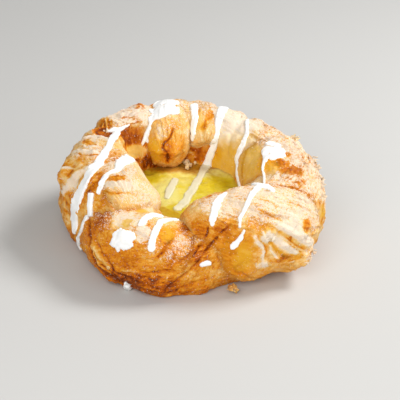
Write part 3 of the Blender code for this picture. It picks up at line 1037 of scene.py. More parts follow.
MARKS = (
    # the hollow under the hood, the notch beside it and the wall behind the lobes: painted shade
    # painted shade: the hollow under the hood, the hood's face over it and the notch beside it, darker
    Spot((-29, 22, 37), (8, 7, 6), Mark(bake=0.62, crack=0.3, sugar=-1, soak=-1), RING),
    Spot((-24, 20, 27), (5, 6, 6), Mark(bake=0.45, crack=0.3, sugar=-1, soak=-1), RING),
    Spot((-28, 21, 32), (7, 4.5, 3), Mark(bake=-0.75, soak=1.9, crack=-0.5), RING),
    Spot((-26, 24, 39), (9, 5, 5.5), Mark(bake=0.55, crack=0.2, sugar=-1.6), HOOD),
    Spot((-41, 19.5, 41), (5, 3.5, 3), Mark(height=-0.7, bake=0.5, crack=0.3, sugar=-1.4, soft=0.5),
         RING),
    Spot((-42, 25, 43), (3.5, 4.5, 3), Mark(height=-0.6, bake=0.45, crack=0.2, sugar=-1.5), CREST),
    Line(((-44, 28, 43.5), (-42.5, 24, 42.5), (-41.5, 20, 41)), 0.45,
         Mark(height=1.0, bake=-0.9, crack=-0.5, sugar=1.9), CREST, 2, (1.9, 0.4, 0.2), 0.2),
    Line(((-36, 27, 43), (-32, 29.5, 45), (-28, 29, 45), (-24, 29, 43.5)), 0.8, BROWNED, CREST),
    Line(((-29, 44, 45), (-27, 41, 45.5), (-25, 38, 46), (-26, 35, 45.5)), 0.8, BROWNED, CREST, 2,
         (-3, 0.5, -0.2)),
    Line(((-37, 38, 43), (-34, 36, 44.5), (-30, 33, 45)), 0.6, STREAK_AND_SHADOW, CREST, 2, (2, 3, 0.4)),
    Spot((-28, 14, 38), (6, 5, 5), Mark(bake=-0.04, soak=0.45, sugar=-0.6, soft=0.6), RING),
    # painted shade on the wall under the back lobes and the back fold
    Spot((-13, 28, 27), (17, 7, 9), Mark(bake=0.5, soak=-1, sugar=-1, soft=0.5), RING),
    Spot((-21, 24, 27), (6, 6, 6), Mark(bake=0.2, soak=-1, sugar=-1, soft=0.5), RING),
    Spot((4, 31, 30), (9, 5, 7), Mark(bake=0.42, soak=-0.7, sugar=-1, soft=0.5), RING),
    Spot((-32, 33, 45), (15, 9, 6), POWDER, CREST),
    # the back lobes
    Spot((-20, 19, 33), (4.5, 6, 8), Mark(bake=0.16, soak=0.85, sugar=-1.2, soft=0.8), BACK_LEFT),
    Spot((-13, 18, 34), (8, 5, 6), Mark(bake=0.06, sugar=-0.6, soft=0.3), BACK_LEFT),
    Spot((-13, 18, 33), (3.5, 4, 7), Mark(bake=0.2, crack=0.15, sugar=-1), BACK_LEFT),
    Line(((-11, 27, 43), (-11, 24, 41), (-12, 22, 40), (-14, 21, 38), (-15, 19, 36), (-13, 18, 34),
         (-12, 19, 30), (-12, 20, 27)), 0.55, Mark(height=-0.8, bake=0.55, crack=0.45, sugar=-1),
         BACK_LEFT),
    Line(((-15, 20, 37), (-13.5, 18, 34), (-12, 19, 30), (-12, 20, 26)), 1.2,
         Mark(height=-0.3, bake=0.45, sugar=-1), BACK_LEFT, stray=0.5),
    Line(((-18, 27, 44), (-17, 23, 41), (-17, 21, 38)), 1.5, POWDER, BACK_LEFT),
    Line(((6, 41, 45), (5, 36, 44), (3, 33, 42), (2, 31, 40)), 0.9,
         Mark(height=-0.5, bake=0.22, sugar=-1.4), BACK, 2, (-0.9, 0, 0)),
    Spot((5.4, 39, 45), (1.4, 3.5, 2.5), TOASTED, BACK),
    Spot((3.8, 35.5, 43.5), (1.4, 3, 2.5), TOASTED, BACK),
    Spot((2.6, 32, 41.5), (1.4, 3, 3), TOASTED, BACK),
    # painted shade under the back fold
    Spot((3, 28, 33), (6, 5, 4), Mark(bake=0.12, sugar=-0.3), BACK),
    Spot((0, 34, 42), (3, 7, 5), Mark(soak=0.4, sugar=-0.5, soft=0.5), BACK),
    # the wall between the back and the right, paler and sugared as painted light on its shade
    Spot((15, 37, 44), (10, 7, 5), Mark(bake=-0.25, sugar=1.0, soft=0.4), RING),
    Spot((22, 33, 44), (6, 6, 4), POWDER, RING),
    Spot((15, 32, 40), (9, 6, 5), Mark(height=0.5, bake=-0.25, sugar=0.3, soft=0.5), RING),
    Spot((12, 29, 36), (3, 3, 4), Mark(height=0.9, bake=-0.1, soft=0.4), RING),
    Spot((18, 26, 36), (4, 4, 4), Mark(height=0.9, bake=0.06, soft=0.4), RING),
    Spot((15, 26, 29), (10, 8, 8), Mark(bake=0.12, soak=0.9, sugar=-1.3, soft=0.5), RING),
    # the right fold
    Spot((24, 12, 36), (6, 15, 9), Mark(bake=-0.16, soft=0.8, soak=0.75, sugar=-1), RIGHT),
    Spot((28, 7, 38), (2.5, 5, 4), Mark(bake=0.14, sugar=-1), RIGHT),
    # painted shadow: a dark line along the right fold's left edge, where it casts shade
    Line(((22, 23, 39), (21, 14, 35), (21, 8, 31), (22, 3, 28)), 0.9,
         Mark(bake=0.5, crack=0.3, sugar=-1), RIGHT),
    Spot((36.5, 1.5, 42), (4.3, 2.8, 3), Mark(bake=0.36, sugar=-1.5, soft=0.4)),
    Spot((41.5, -2, 40.5), (5.5, 3.5, 3.5), Mark(bake=0.24, sugar=-0.7)),
    Spot((32, 1, 41), (5, 4, 4), Mark(bake=0.14, soak=0.45, sugar=-1.1, soft=0.5)),
    Spot((39, 9, 43), 2.4, Mark(bake=0.2, sugar=-0.8), RIGHT),
    Spot((33, -6, 40), (5, 4, 4), Mark(soak=0.25, sugar=-0.4, soft=0.6), RIGHT),
    Line(((40, -5, 41), (45, -7, 39), (49, -6, 37)), 0.8, STREAK_AND_SHADOW, (), 2, (-2, -2.8, -0.2)),
    Line(((34, -16, 39), (40, -14, 39), (46, -11, 37)), 0.6, THREAD),
    Spot((57, -4, 23), (2.0, 3, 4), Mark(soak=0.7, sugar=-0.6, soft=0.5)),
    # the front right fold
    Line(((3, -25, 37), (8, -21, 39), (14, -18, 40)), 1.1, STREAK_AND_SHADOW, FRONT_RIGHT),
    Spot((8, -38, 30), (9, 5, 5), Mark(bake=0.12, sugar=-0.3), FRONT_RIGHT),
    Spot((14, -40, 30), (5, 4, 4), Mark(bake=0.2, crack=0.1, sugar=-0.7), FRONT_RIGHT),
    Spot((19, -42, 19), (9, 6, 12), Mark(bake=0.35, soak=0.3, sugar=-1.8, soft=0.9), FRONT_RIGHT),
    Spot((23, -41, 18), (4, 3, 7), Mark(bake=-0.1, soak=0.3, sugar=-0.5), FRONT_RIGHT),
    Spot((42, -32, 26), (13, 8, 11), Mark(bake=-0.2, sugar=0.35, soft=0.2), FRONT_RIGHT),
    Line(((37, -34, 31), (39, -34, 30), (42, -33, 28), (46, -31, 25), (49, -27, 21), (53, -22, 17)),
         1.5, Mark(height=0.9, bake=-0.9, crack=-0.5, sugar=1.9), FRONT_RIGHT, stray=0.2),
    # the darker, golden grooves here and below, between the pale bands, are partly painted shade
    Line(((36, -35, 29), (38, -34, 28), (42, -32, 25), (45, -30, 21), (49, -28, 18)), 0.9,
         Mark(height=-1.0, bake=0.3, soak=0.45, sugar=-2.2), FRONT_RIGHT, stray=0.2),
    Line(((39, -34, 26.5), (42, -33, 24), (45, -31, 20.5), (48, -28, 17.5)), 0.35,
         Mark(height=-0.5, bake=0.8, sugar=-1.5), FRONT_RIGHT, 2, (-0.3, 0, -1.7), stray=0.2),
    Line(((31, -37, 30), (33, -37, 28), (38, -36, 24), (42, -33, 20), (47, -30, 15)), 1.1,
         Mark(height=0.7, bake=-0.8, crack=-0.4, sugar=1.7), FRONT_RIGHT, stray=0.3),
    Line(((32, -38, 26), (36, -37, 22), (39, -35, 18.5), (42, -33, 15)), 0.8,
         Mark(height=-0.5, bake=0.25, soak=0.5, sugar=-1.2), FRONT_RIGHT, stray=0.5),
    Line(((27, -40, 30), (28, -40, 26), (30, -39, 21), (33, -38, 13)), 0.8, FIBRE, FRONT_RIGHT),
    Line(((29, -38, 31), (31, -38, 27), (35, -37, 20), (38, -36, 15)), 0.6, FIBRE, FRONT_RIGHT),
    Line(((28.5, -39, 30), (30, -39, 25), (33, -38, 18), (36, -37, 13)), 0.5,
         Mark(height=-0.7, bake=0.2, soak=0.2, sugar=-1.2), FRONT_RIGHT),
    Spot((30, -39, 26), (2.5, 2.5, 3), Mark(bake=-0.12, sugar=0.8), FRONT_RIGHT),
    Spot((31, -38, 14), (3.0, 3, 2), POWDER, FRONT_RIGHT),
    Spot((32, -38, 31), (4, 3, 2.5), Mark(bake=0.1, soak=0.2, sugar=-0.7), FRONT_RIGHT),
    Spot((48.5, -26.5, 28), (2.2, 3, 3), Mark(bake=0.42, sugar=-1.8, soft=0.3), FRONT_RIGHT),
    Spot((39, -35, 16), (4, 3, 2), Mark(bake=0.4, sugar=-1.6), FRONT_RIGHT),
    Spot((45, -31, 15), (4, 4, 2), Mark(bake=0.4, soak=0.3, sugar=-1.6), FRONT_RIGHT),
    Line(((27, -29, 40), (29, -29, 40), (36, -29, 37), (45, -27, 32)), 0.4, THREAD, FRONT_RIGHT),
    Line(((25, -34, 38), (27, -34, 37), (35, -34, 34), (38, -33, 32)), 0.5, THREAD, FRONT_RIGHT),
    Line(((28, -21, 40), (32, -21, 40), (41, -23, 37), (49, -22, 32)), 0.4, THREAD, FRONT_RIGHT),
    Line(((36, -13, 39), (39, -13, 39), (48, -11, 34)), 0.5, THREAD),
    # where the front folds meet
    Spot((3, -38, 29), (4, 3, 4), TANNED),
    Spot((5, -44, 19), (4, 4, 6), Mark(bake=0.2, sugar=-1), SEAM),
    Line(((17, -38, 33), (14, -40, 31), (12, -40, 28), (9, -41, 24), (6, -44, 20.5), (4, -46, 17),
         (1.5, -47, 14), (-1, -47.5, 12.5), (-4, -49, 10), (-8, -51, 6)), 0.5, CUT, SEAM, stray=0.5),
    Line(((16, -37, 33), (10, -40, 26.5), (5, -44, 20), (1, -47, 15)), 1.8, TANNED, SEAM),
    Line(((8, -38, 32), (7, -40, 28), (4, -43, 23), (0, -47, 17)), 0.5, CUT, SEAM, stray=1.3),
    # the front left fold
    Spot((-37, -33, 28), (5, 7, 6), Mark(bake=0.22, crack=0.1, sugar=0.1), FRONT_LEFT),
    Spot((-16, -49, 7), (17, 8, 6), Mark(bake=0.26, sugar=-0.6)),
    Spot((-26, -37, 30), (7, 7, 4), Mark(bake=-0.3, sugar=0.4, soft=0.5), FRONT_LEFT),
    Spot((-12, -31, 31), (12, 8, 5), Mark(bake=-0.3, sugar=0.1, soft=0.5), FRONT_LEFT),
    Spot((-8, -40, 29), (6, 5, 4), Mark(bake=-0.02, soak=0.25, sugar=-0.1, soft=0.3), FRONT_LEFT),
    Spot((-9, -43, 28), (3.5, 4, 3), Mark(soak=0.42, bake=0.07, sugar=-0.8), FRONT_LEFT),
    Spot((-26, -39, 30), (3, 2.5, 2), Mark(soak=0.6, sugar=-0.7)),
    Spot((-20, -30, 32), (3, 2, 2), Mark(soak=0.8, sugar=-1, soft=0.6)),
    Spot((-12, -24, 28), (10, 6, 5), Mark(bake=-0.1, soak=0.3, soft=0.5), FRONT_LEFT),
    Spot((-19, -43, 27), (3, 4, 4), Mark(bake=-0.2, sugar=0.7), FRONT_LEFT),
    Spot((-1, -34, 29), (3, 6, 3), Mark(bake=0.3, crack=0.15, sugar=-0.3), FRONT_LEFT),
    Spot((-27, -46, 19), (8, 5, 5), Mark(sugar=-0.25), FRONT_LEFT),
    Line(((-13, -50, 19), (-9, -49, 22), (-5, -46, 24), (0, -41, 25)), 2.6,
         Mark(height=0.5, bake=-0.03, sugar=0.4), FRONT_LEFT),
    Line(((-8, -44.5, 26), (-9, -46, 25), (-10, -48, 23), (-13, -50, 20)), 0.7,
         Mark(height=-0.7, bake=0.35, crack=0.15, sugar=-1), FRONT_LEFT, stray=0.5),
    Line(((-39, -37, 17), (-37, -40, 14), (-34, -43, 11.5), (-31, -44, 10)), 1.3,
         Mark(height=1.0, bake=-0.45, soft=0.6), FRONT_LEFT, stray=0.5),
    # painted shadow in the gap along the front left fold's outer edge, over a real groove
    Line(((-42, -27, 24), (-42, -32, 22), (-41, -35, 19), (-40, -36.5, 12), (-38, -38.5, 8.5),
         (-35, -41, 7), (-32, -43, 6.5), (-28, -44, 5), (-25, -44, 2)), 0.8,
         Mark(height=-1.7, bake=0.7, crack=1.0, sugar=-1), LEFT_EDGE, stray=0.4),
    Line(((-41.5, -30, 24), (-40.5, -36, 18), (-39, -38, 12.5), (-36, -41, 9.5), (-32, -43.5, 8.5),
         (-28, -45, 6)), 0.5, Mark(height=0.6, bake=-0.35), LEFT_EDGE, stray=0.5),
    Line(((-38, -37, 20), (-36, -41.5, 16.5), (-33, -43, 14), (-31, -44, 12), (-29, -45, 9.5)), 0.55,
         GROOVE, FRONT_LEFT, stray=0.6),
    Line(((-36, -41, 10.5), (-32, -43.5, 9), (-29, -44.5, 7), (-26, -45, 5), (-22, -47, 3)), 0.6, CUT,
         FRONT_LEFT, stray=0.4),
    Line(((-29, -45, 9.5), (-26, -47, 9.5), (-21, -49, 10)), 0.5, GROOVE, FRONT_LEFT),
    Line(((-27, -47, 12), (-23, -49, 13), (-19, -50, 13)), 0.5, RIDGE, FRONT_LEFT),
    Line(((-20, -50, 14), (-16, -50.5, 13.5), (-11, -50.5, 14.5), (-8, -50, 15), (-3, -48, 14.5)), 0.65,
         CUT, FRONT_LEFT, stray=0.6),
    Line(((-18, -50, 11.5), (-14, -51, 10), (-11, -51, 11), (-10, -50.5, 13)), 0.6, GROOVE, FRONT_LEFT),
    Line(((-8, -51, 9), (-8.5, -51, 11), (-8, -50, 13)), 0.6, RIDGE, FRONT_LEFT),
    Line(((-9, -51, 5), (-14, -51, 6), (-20, -49, 6)), 0.6, RIDGE, FRONT_LEFT, 2, (0, 0.5, -3)),
    Line(((-3, -48, 19), (0, -47, 21), (2, -45, 23), (5, -41, 24)), 0.55, GROOVE, SEAM, stray=0.6),
    # the left
    Line(((-38, -21, 36), (-34, -23, 38), (-30, -23, 39), (-25, -23, 38)), 1.3,
         Mark(height=0.5, bake=-0.1, sugar=0.7), LEFT_TOP),
    # painted shadow under the ridge above
    Line(((-37, -24, 35), (-33, -26, 36), (-29, -26, 37), (-24, -25, 36)), 0.6, STREAK_AND_SHADOW, LEFT_TOP),
    Spot((-32, -19.5, 39.5), (4, 2, 3), Mark(bake=0.4, soak=0.2, sugar=-1), LEFT_TOP),
    Line(((-39, -14, 39), (-40, -18, 37), (-42, -21, 35), (-45, -21, 31), (-46, -23, 27)), 1.5,
         Mark(bake=0.3, crack=0.15, sugar=-0.6), RING),
    Spot((-22, -19, 31), (12, 5, 7), Mark(height=1.5, crack=-0.8, bake=-0.12, soft=0.4)),
    Spot((-21, -10, 33), (7, 13, 9), Mark(bake=-0.02, soft=0.7, soak=0.1, sugar=-0.1), LEFT_INNER),
    Spot((-17.5, -1, 27), (2.5, 4, 3), Mark(bake=0.2, sugar=-0.3), LEFT_INNER),
    Spot((-52, -7, 34), (5, 2.4, 2.5), Mark(height=-0.5, bake=0.3, sugar=-1), RING),
    Spot((-48, 8, 40), (9, 16, 6), Mark(bake=-0.12, sugar=0.3), RING),
    Spot((-51, -12, 30), (5, 4, 4), POWDER, RING),
    Line(((-58, -3, 27), (-54, -10, 27), (-50, -17, 27)), 1.3, POWDER, RING, 2, (0.5, 0, 3)),
    Line(((-57, -4, 22), (-53, -12, 21), (-49, -19, 21)), 0.9, BROWNED, RING, 2, (0.6, 0, -6)),
    Line(((-57, -3, 19), (-53, -12, 17), (-49, -20, 16)), 0.9, POWDER, RING, 2, (0.6, 0, -7)),
    # painted shadow beside each ridge of the next line
    Line(((-51, 5, 38), (-45, 0, 42), (-41, -2, 42)), 0.5, STREAK_AND_SHADOW, RING, 3, (0.2, 3.2, 0.3)),
    Line(((-51, 3, 38), (-45, -2.5, 42), (-41, -4, 42)), 0.8, RIDGE, RING, 3, (0.1, 3.4, 0.3)),
    Line(((-40, -8, 40), (-44, -10, 38), (-49, -9, 35.5), (-53, -9, 31)), 1.2,
         Mark(height=1.1, bake=-0.35, sugar=0.9), RING),
    Line(((-50, 12.5, 40), (-48, 13, 42), (-46, 14, 42), (-43, 13, 43), (-40, 10, 43), (-37, 7, 43)),
         0.7, CRISP, RING, stray=0.4),
    Line(((-53, 4, 38), (-50, 0, 41), (-48, -1, 42), (-45, -3, 43), (-41, -3, 42)), 0.45, CRISP, RING,
         stray=0.3),
    # painted shadow under the crisp ridge above
    Line(((-52, 3, 39), (-49, -2.6, 41), (-45, -4.4, 42), (-41, -4.4, 41.5)), 0.45, STREAK_AND_SHADOW, RING,
         stray=0.3),
    Line(((-57, -3, 32), (-54, -5, 35), (-50, -8, 36)), 0.5, CRISP, RING, stray=0.3),
    Line(((-43, -10, 40), (-48, -11, 36), (-52, -10, 31), (-54, -9, 27), (-57, -5, 22)), 1.7,
         Mark(height=0.3, bake=-0.3, sugar=1.1), RING, stray=0.8),
    Spot((-47, 7, 41), (3.5, 4, 3), Mark(bake=0.16, sugar=-0.5), RING),
    Spot((-49, -5, 40), (3, 2, 3), Mark(bake=0.14, sugar=-0.3), RING),
    Spot((-51, -11, 26), (3, 3, 3), Mark(bake=0.2, sugar=-0.5), RING),
    Line(((-52, 24, 37), (-46, 21, 41), (-43, 18, 42)), 0.8, STREAK_AND_SHADOW, RING, 2, (-2, -4.5, -0.4)),
    # the custard: soak sets how deep its yellow is, the crack look how brown, as painted shade
    Spot((-9, -20, 23), (9, 9, 6), Mark(soak=1.1), POOL),
    Spot((13, 5, 23), (12, 15, 6), YELLOW, POOL),
    Spot((-18, 16, 23), (6, 8, 6), YELLOW, POOL),
    Spot((-12, 2, 23), (5, 14, 6), Mark(soak=-0.6), POOL),
    # painted shadow: a brown band on the custard's back edge, under the lobes
    Spot((-13, 28, 23), (20, 7.5, 5), Mark(crack=1.3), POOL),
)


# ---- icing


@dataclass(frozen=True)
class Drizzle:
    """Icing poured in strokes: each is a path of x, y, height and half width."""

    name: str
    strokes: tuple[tuple[tuple[float, float, float, float], ...], ...]
    thickness: float = 0.85
    ragged: float = 1.0
    broken: bool = False  # whether the ends are snapped off square
    on: tuple[str, ...] = ()
    steep: float = 3.0
    snap: float = 0.8  # how sharply a snapped end stops
    margin: float = 1.7  # the strokes' reach that is looked at, as a share of their width

    def reach(self, points: Array, normals: Array) -> Array:
        """Distance from the nearest stroke as a share of its half width there.

        Args:
            points: places on a skin.
            normals: the skin's normals.

        Returns:
            0 on a stroke's middle, 1 at its edge and more outside it.
        """
        share = np.full(points.shape[:-1], FAR)
        for stroke in self.strokes:
            path = np.array(stroke, float)
            away, along = way_along(points, path[:, :3], normals)
            wide = away / np.interp(along, np.arange(len(path)), path[:, 3])
            if self.broken:
                for end, inner in ((path[0], path[1]), (path[-1], path[-2])):
                    past = (points - end[:3]) @ unit(end[:3] - inner[:3])
                    wide = np.maximum(wide, 1 + past / self.snap)
            share = np.minimum(share, wide)
        return share

    def rise(self, points: Array, normals: Array) -> Array:
        """Thickness of the icing: level in the middle, steep at its uneven edge, sunk outside."""
        uneven = WANDER.blend(points, (0.14, 5.0), (0.16, 2.0), (0.09, 0.9))
        share = np.clip(self.reach(points, normals) + self.ragged * uneven, 0, 1.6)
        rounded = (1 - np.exp(-self.steep * (1 - share**3))) / (1 - math.exp(-self.steep))
        dimples = 0.07 * LUMPS.at(points, 3.0) * ease(1.0, 0.6, share)
        return np.maximum(self.thickness * rounded + dimples, ICING_LOW)

    def window(self, piece: DoughPiece) -> tuple[Array, Array] | None:
        """A fine grid over the part of a piece that the strokes touch.

        Args:
            piece: the dough or custard under the icing.

        Returns:
            Places along and round the piece, or nothing if the strokes miss it.
        """
        u, v = piece.grid()
        u, v = u[::4], v[:, ::3]  # a rougher grid is enough to find the part
        base = piece.pulled(u, v)
        touched = self.reach(base, piece.normals(u, v)) < self.margin
        for other in piece.neighbours:
            touched &= other.outside(base) > -BURIED
        if not touched.any():
            return None
        rows, columns = (
            slice(max(numbers[0] - 1, 0), numbers[-1] + 2)
            for numbers in (np.flatnonzero(touched.any(axis=1)), np.flatnonzero(touched.any(axis=0)))
        )
        tall, broad = (
            int(length(np.diff(base[rows, columns], axis=axis)).sum(axis=axis).max() / ICING_STEP) + 2
            for axis in (0, 1)
        )
        u, v = u[rows, 0], v[0, columns]
        return np.linspace(u[0], u[-1], tall)[:, None], np.linspace(v[0], v[-1], broad)[None, :]

    def plate(self, piece: DoughPiece) -> tuple[Array, Array, Array] | None:
        """The icing that lies on one piece.

        Args:
            piece: the dough or custard under it.

        Returns:
            Points and faces of a closed plate and how thin the icing is at the points, or
            nothing if the strokes miss the piece.
        """
        window = self.window(piece)
        if window is None:
            return None
        base, normals = piece.pulled(*window), piece.normals(*window)
        height, _, gap, _ = piece.coarse_relief(*window, base, normals)
        rise = self.rise(base, normals)
        wanted = (rise > ICING_EDGE) & (gap > -BURIED)
        keep = wanted[:-1, :-1] & wanted[1:, :-1] & wanted[1:, 1:] & wanted[:-1, 1:]
        if not keep.any():
            return None
        top = lifted(base + normals * (height + rise)[..., None], PLATE_TOP)
        bottom = lifted(base + normals * (height - ICING_ROOT)[..., None], PLATE_BOTTOM)
        points, faces = shell(top, bottom, keep)
        return points, faces, np.full(len(points), float(piece.name == "custard"))

    def build(self, pieces: Sequence[DoughPiece]) -> Object:
        """One object of the icing on every piece that the strokes touch."""
        under = [piece for piece in pieces if not self.on or piece.name in self.on]
        plates = [plate for piece in under if (plate := self.plate(piece)) is not None]
        points, faces, thin = zip(*plates)
        starts = np.cumsum([0] + [len(part) for part in points[:-1]])
        faces = np.concatenate([part + start for part, start in zip(faces, starts)])
        return new_object(self.name, np.concatenate(points), faces, {"thin": np.concatenate(thin)})


DRIZZLES = (
    Drizzle("icing_left", (
        ((-39.5, 20, 42, 0.6), (-37, 21, 42, 1.5), (-35, 21, 42, 1.6), (-33, 23.5, 42, 0.9),
         (-30.5, 25, 43, 0.4)),
        ((-35.5, 20, 42, 1.9), (-36.5, 14, 41.5, 1.8), (-37, 8, 43, 1.5), (-39, -4, 42, 1.9),
         (-42, -11, 39, 2.2), (-45, -16, 36, 2.5), (-47, -18, 31, 2.8), (-48.5, -18.5, 25, 3.2),
         (-49.5, -18, 20, 3.5), (-49.5, -18, 17, 3.0), (-49.5, -19, 14, 2.2),
         (-49, -18.5, 11.5, 1.2)),
    )),
    Drizzle("icing_left_low", (
        ((-44, -27, 24, 1.1), (-45, -26, 18, 1.4), (-46, -22, 11, 1.5), (-47, -19, 6, 1.2),
         (-46, -19, 3.5, 0.8)),
    )),
    Drizzle("icing_left_chip", (
        ((-42, -22, 33, 1.4), (-42, -25, 29, 1.5), (-42, -28, 25, 1.4)),
    ), ragged=0.4, broken=True, thickness=1.1),
    Drizzle("icing_back_left", (
        ((-20, 37, 46, 2.6), (-12, 36, 47, 3.4)),
        ((-19, 42, 45, 2.2), (-13, 42, 45.5, 3.0)),
        ((-17, 33, 46, 3.2), (-21, 32, 43, 2.0), (-21, 30, 41, 1.7), (-23, 25, 37, 1.2),
         (-24, 21, 34, 0.8)),
    )),
    Drizzle("icing_inner_left", (
        ((-28, -1, 40, 2.6), (-31, -7, 41, 2.8), (-32, -13, 41, 1.5), (-36, -16, 39, 1.1),
         (-38, -20, 37, 1.5), (-39, -23, 34, 1.1)),
    ), ragged=1.5),
    Drizzle("icing_back", (
        ((-2.5, 43, 46, 1.9), (-1.5, 36, 43, 1.7), (-2, 31, 38, 1.3), (-3, 29, 33, 0.8),
         (-3.5, 28, 29, 0.4)),
    ), on=("ring", "fold_back")),
    Drizzle("icing_middle", (
        ((11, 47, 46, 2.6), (10, 40, 45, 2.0), (9, 35, 42, 1.7), (8, 30.5, 36, 1.6),
         (7.2, 31, 30, 1.7), (6.4, 31, 27, 1.8), (5.2, 30, 23, 2.0), (4, 26, 22.5, 2.0),
         (3, 19, 23.5, 1.8), (0, 6, 24, 2.0), (-3, -5, 24, 2.0), (-6, -14, 23, 1.8)),
    )),
    Drizzle("icing_custard", (
        ((-8, 13, 23, 1.5), (-10, 3, 24, 2.0), (-11, -3, 24, 1.4)),
    ), thickness=0.6),
    Drizzle("icing_right_inner", (
        ((22, 38, 44, 0.9), (22, 30, 43, 0.9), (22, 27, 42, 1.0), (21, 23, 38, 1.2),
         (19, 21, 32, 1.5), (19, 16, 28, 1.4), (20, 8, 26, 1.0), (20, 5, 25, 0.8)),
    )),
    Drizzle("icing_right", (
        ((32, 17, 43, 1.7), (35, 16, 43, 2.2)),
        ((30.5, 12, 42.5, 2.5), (36.5, 11, 43, 2.8)),
        ((33, 6.5, 42, 2.6), (37, 7, 42, 2.0)),
        ((30, 10, 42, 1.6), (30.5, 4, 41, 1.1)),
        ((30, 5, 41, 0.8), (29.5, -1, 39, 0.6), (30, -9, 38, 0.6), (30, -14, 38, 0.6)),
    ), ragged=1.2),
    Drizzle("icing_front_middle", (
        ((13, -24, 41, 1.3), (11, -27, 40, 1.6), (10, -33, 38, 1.8), (9, -37, 33, 1.9),
         (9, -38, 32, 1.2)),
    ), ragged=1.4),
    Drizzle("icing_front_right", (
        ((26, -14, 38, 1.8), (30, -17, 39, 2.2), (33, -21, 40, 1.2)),
        ((28, -17, 39, 1.6), (24, -28, 40, 1.2), (22, -34, 38, 1.0), (20, -37, 35, 0.9),
         (20, -39, 32, 0.6)),
    ), ragged=1.4),
    Drizzle("icing_front_right_low", (
        ((22, -40, 31, 0.6), (21, -41, 28, 1.1), (19, -42, 25, 1.7), (18, -42, 24, 1.4)),
    ), ragged=1.6),
    Drizzle("icing_front_left_chunk", (
        ((-24, -44, 26, 2.2), (-28, -43, 25, 3.4), (-31, -44, 22, 1.8)),
        ((-24, -46, 24, 1.8), (-28, -45, 22, 2.4)),
    ), thickness=1.2, ragged=2.2),
    Drizzle("icing_front_left", (
        ((-12, -33, 31, 1.2), (-15, -33, 32, 1.6), (-18, -36, 31, 1.7), (-20, -40, 30, 1.4)),
    ), ragged=1.5),
    Drizzle("icing_front", (
        ((-5, -32, 30, 0.7), (-9, -35, 31, 1.0), (-12, -37, 31, 1.5), (-14, -43, 29, 1.5),
         (-15, -46, 26, 1.8), (-15, -48, 24, 1.6)),
    ), ragged=1.4),
    Drizzle("icing_front_chip", (
        ((6.2, -45, 16.3, 1.3), (8.8, -44.6, 16.9, 1.4)),
    ), thickness=1.2, ragged=1.5),
    Drizzle("icing_base_chip", (
        ((-24.6, -46, 5.8, 0.4), (-24.5, -46, 3.8, 1.2), (-24.2, -44, 1, 2.2)),
    ), thickness=1.5, ragged=0.6),
)


# ---- loose bits


def dough_looks(bake: Array, sugar: Array, soak: float = 0.0) -> Looks:
    """The dough's looks of loose bits, which have no cracks or painted shade and aren't soft."""
    plain = np.zeros_like(bake)
    return {"bake": bake, "sugar": sugar, "soak": plain + soak, "crack": plain, "soft": plain}


@dataclass
class Flakes:
    """Thin, curled scales of crust that stand off the dough."""

    name: str
    centres: Array
    outs: Array
    normals: Array
    lengths: Array
    widths: Array
    curls: Array
    bake: Array
    sugar: Array
    seed: int
    thickness: float = 0.12

    def build(self) -> Object:
        """Join the scales: each is a tapered, bent plate.

        Along s from 0 at its root to 1 at its tip, a scale runs out by its length, rises
        by its curl times s squared, narrows and twists; its tip is slanted by waves of t,
        which runs across it from -1 to 1.
        """
        rng = np.random.default_rng(self.seed)
        count = len(self.centres)
        s = np.linspace(0, 1, 5)[None, :, None]
        t = np.linspace(-1, 1, 4)[None, None, :]
        phase = rng.uniform(0, TURN, (4, count, 1, 1))
        long, wide, curl = (part[:, None, None] for part in (self.lengths, self.widths, self.curls))
        width = wide * (1 - 0.6 * s**3) * (1 + 0.3 * np.sin(4.5 * s + phase[0]))
        along = long * s * (1 + 0.25 * np.sin(2.5 * t + phase[1]) + 0.12 * np.sin(6 * t + phase[2]))
        rise = curl * s**2 + wide * (0.15 * t**2 + 0.3 * np.sin(phase[3]) * s * t)
        ways = self.outs, unit(np.cross(self.normals, self.outs)), self.normals
        ways = [way[:, None, None, :] for way in ways]
        moves = (way * step[..., None] for way, step in zip(ways, (along, width * t, rise)))
        top = self.centres[:, None, None, :] + sum(moves)
        bottom = top - ways[2] * self.thickness
        points = np.stack([lifted(top, PLATE_TOP), lifted(bottom, PLATE_BOTTOM)], axis=1)
        _, faces = shell(top[0], bottom[0], np.ones((s.size - 1, t.size - 1), bool))
        size = 2 * s.size * t.size
        looks = dough_looks(np.repeat(self.bake, size), np.repeat(self.sugar, size))
        return new_object(self.name, points, repeated(faces, count, size), looks)


@dataclass(frozen=True)
class Tuft:
    """A bunch of scales and crumbs that stick out round one place."""

    at: Point
    out: Point
    count: int
    spread: float
    reach: float
    bake: float = 0.05
    sugar: float = 1.0


TUFTS = (
    Tuft((51.5, 15, 37.5), (0.8, 0.1, 0.6), 8, 1.3, 1.7),
    Tuft((53, 11, 36), (1.0, 0.0, 0.3), 6, 1.2, 1.5),
    Tuft((54.5, 5, 34), (1.0, 0.0, 0.4), 9, 1.3, 1.8),
    Tuft((55, 1, 33), (1.0, -0.1, 0.4), 6, 1.2, 1.6),
    Tuft((56, -3, 30.5), (1.0, -0.1, 0.3), 6, 1.2, 1.4),
    Tuft((50, -27, 12.5), (0.9, -0.4, -0.1), 12, 1.6, 1.7, bake=0.15),
    Tuft((52, -23, 14), (0.9, -0.3, 0.2), 6, 1.4, 1.4, bake=0.12),
    Tuft((19.5, -38.5, 2.2), (0.2, -1.0, -0.15), 6, 2.0, 3.3, bake=0.3, sugar=0.3),
    Tuft((43, 28.5, 41), (0.9, 0.3, 0.2), 3, 0.5, 2.6, sugar=0.5),
    Tuft((-56.5, -3, 30), (-1.0, 0.0, 0.2), 4, 1.2, 1.6, bake=0.4, sugar=0.2),
)


